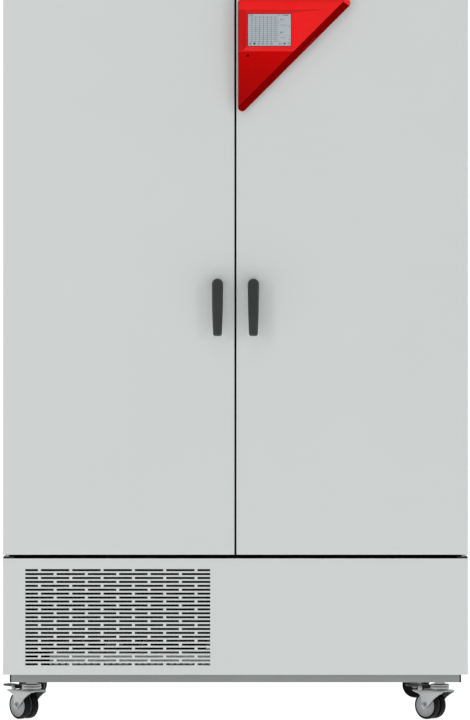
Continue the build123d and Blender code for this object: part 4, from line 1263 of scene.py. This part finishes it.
def lamps():
    bm = bmesh.new()
    for s in (-1, 1):
        for z in (1135.0, 1715.0):
            for k in range(5):
                y = -270.0 + k * 110.0
                x0 = min(s * 26.0, s * 466.0)
                fm = Matrix.Translation(P(x0, y, z - 12.0)) @ Matrix.Rotation(math.radians(90), 4, "Y")
                prof = [(0.0, 0.2), (6.6, 0.2), (8.0, 1.0), (8.0, 8.0), (7.9, 8.6), (7.6, 9.2), (7.6, 430.8), (7.9, 431.4), (8.0, 432.0), (8.0, 439.0), (6.6, 439.8), (0.0, 439.8)]
                mis = [1, 1, 1, 1, 1, 0, 1, 1, 1, 1, 1]
                lathe(bm, prof, fm, 24, mis=mis)
    put("lamp_tubes_v", bm, ["lamp", "alu"], "cabinet", ("lamp_tubes",), smooth=40, weighted=False)


wire_rack()
lamps()
redo("light_cassettes", ["alu"], bev=0.6)
redo("rack_uprights", ["steel"], bev=0.6)
redo("air_baffle", ["steel"], bev=0.0)
redo("chamber_liner", ["steel"], bev=0.6)
for side in ("left", "right"):
    redo(f"glass_door_{side}", ["glass"], bev=1.0)
    redo(f"glass_{side}_fittings", ["steel"], bev=0.8)

# ---------------------------------------------------------------------------
# machine bay and back
# ---------------------------------------------------------------------------
M["comp"] = mat("compressor_black", srgb(24, 24, 25), rough=0.28, var=0.15, scale=12, bump=0.1, bscale=500, edge=0.3,
                edge_col=srgb(70, 70, 71))
M["coil"] = mat("coated_fins", srgb(30, 31, 32), rough=0.6, metal=0.2, var=0.2, scale=30, bump=0.2, bscale=500, edge=0.2)


def cond_pick(c, n):
    return 1 if c.y > -265 else 0


redo("condenser", ["coil", "black_paint"], cond_pick, bev=0.0)


def circuit_pick(c, n):
    return 1 if (560 <= c.z <= 761 and 237 <= c.y <= 293 and abs(c.x) <= 431) else 0


redo("refrigerant_circuit", ["copper", "alu"], circuit_pick, bev=0.0)


def comp_pick(c, n):
    return 1 if c.z < 158 else 0


redo("compressor", ["comp", "rubber"], comp_pick, bev=0.8)
redo("electronics_box", ["zinc"], bev=0.8)
redo("power_inlet", ["plastic"], bev=0.4)
# main switch in the painted-shade copy of the controller red
redo("main_switch", ["red_painted_shade_deep"], bev=0.5)
redo("drain_spigot", ["steel"], bev=0.4)
redo("access_port_sleeve", ["steel"], bev=0.6)
redo("access_port_plug", ["silicone"], bev=0.9)
redo("circulation_fan", ["alu"], bev=0.4)
redo("condenser_fan", ["plastic"], bev=0.4)
redo("circulation_fan_motor", ["black_paint"], bev=0.8)
dress("insulation_block", "foam")


def painted_shade_sheet():
    """Soft black mat behind the rear slots, painted shade for the machine bay, quilted so that it isn't a flat sheet.
    """
    bm = bmesh.new()
    nx, nz = 60, 20
    x0, x1, z0, z1 = -572.0, 150.0, 172.0, 412.0
    grids = []
    for y, k in ((441.2, 1.0), (438.6, -1.0)):
        g = []
        for j in range(nz + 1):
            row = []
            for i in range(nx + 1):
                x, z = x0 + (x1 - x0) * i / nx, z0 + (z1 - z0) * j / nz
                w = 0.45 * abs(math.sin(i * math.pi / 3.0) * math.sin(j * math.pi / 2.5))
                row.append(bm.verts.new(P(x, y + k * w, z)))
            g.append(row)
        grids.append(g)
        for j in range(nz):
            for i in range(nx):
                bm.faces.new((g[j][i], g[j][i + 1], g[j + 1][i + 1], g[j + 1][i]))
    a, b = grids
    rim = [(0, i) for i in range(nx)] + [(j, nx) for j in range(nz)] + [(nz, i) for i in range(nx, 0, -1)] + [(j, 0) for j in range(nz, 0, -1)]
    for (j0, i0), (j1, i1) in zip(rim, rim[1:] + rim[:1]):
        bm.faces.new((a[j0][i0], a[j1][i1], b[j1][i1], b[j0][i0]))
    put("rear_painted_shade_sheet_v", bm, ["painted_shade_black"], "cabinet", smooth=60, weighted=False)


painted_shade_sheet()
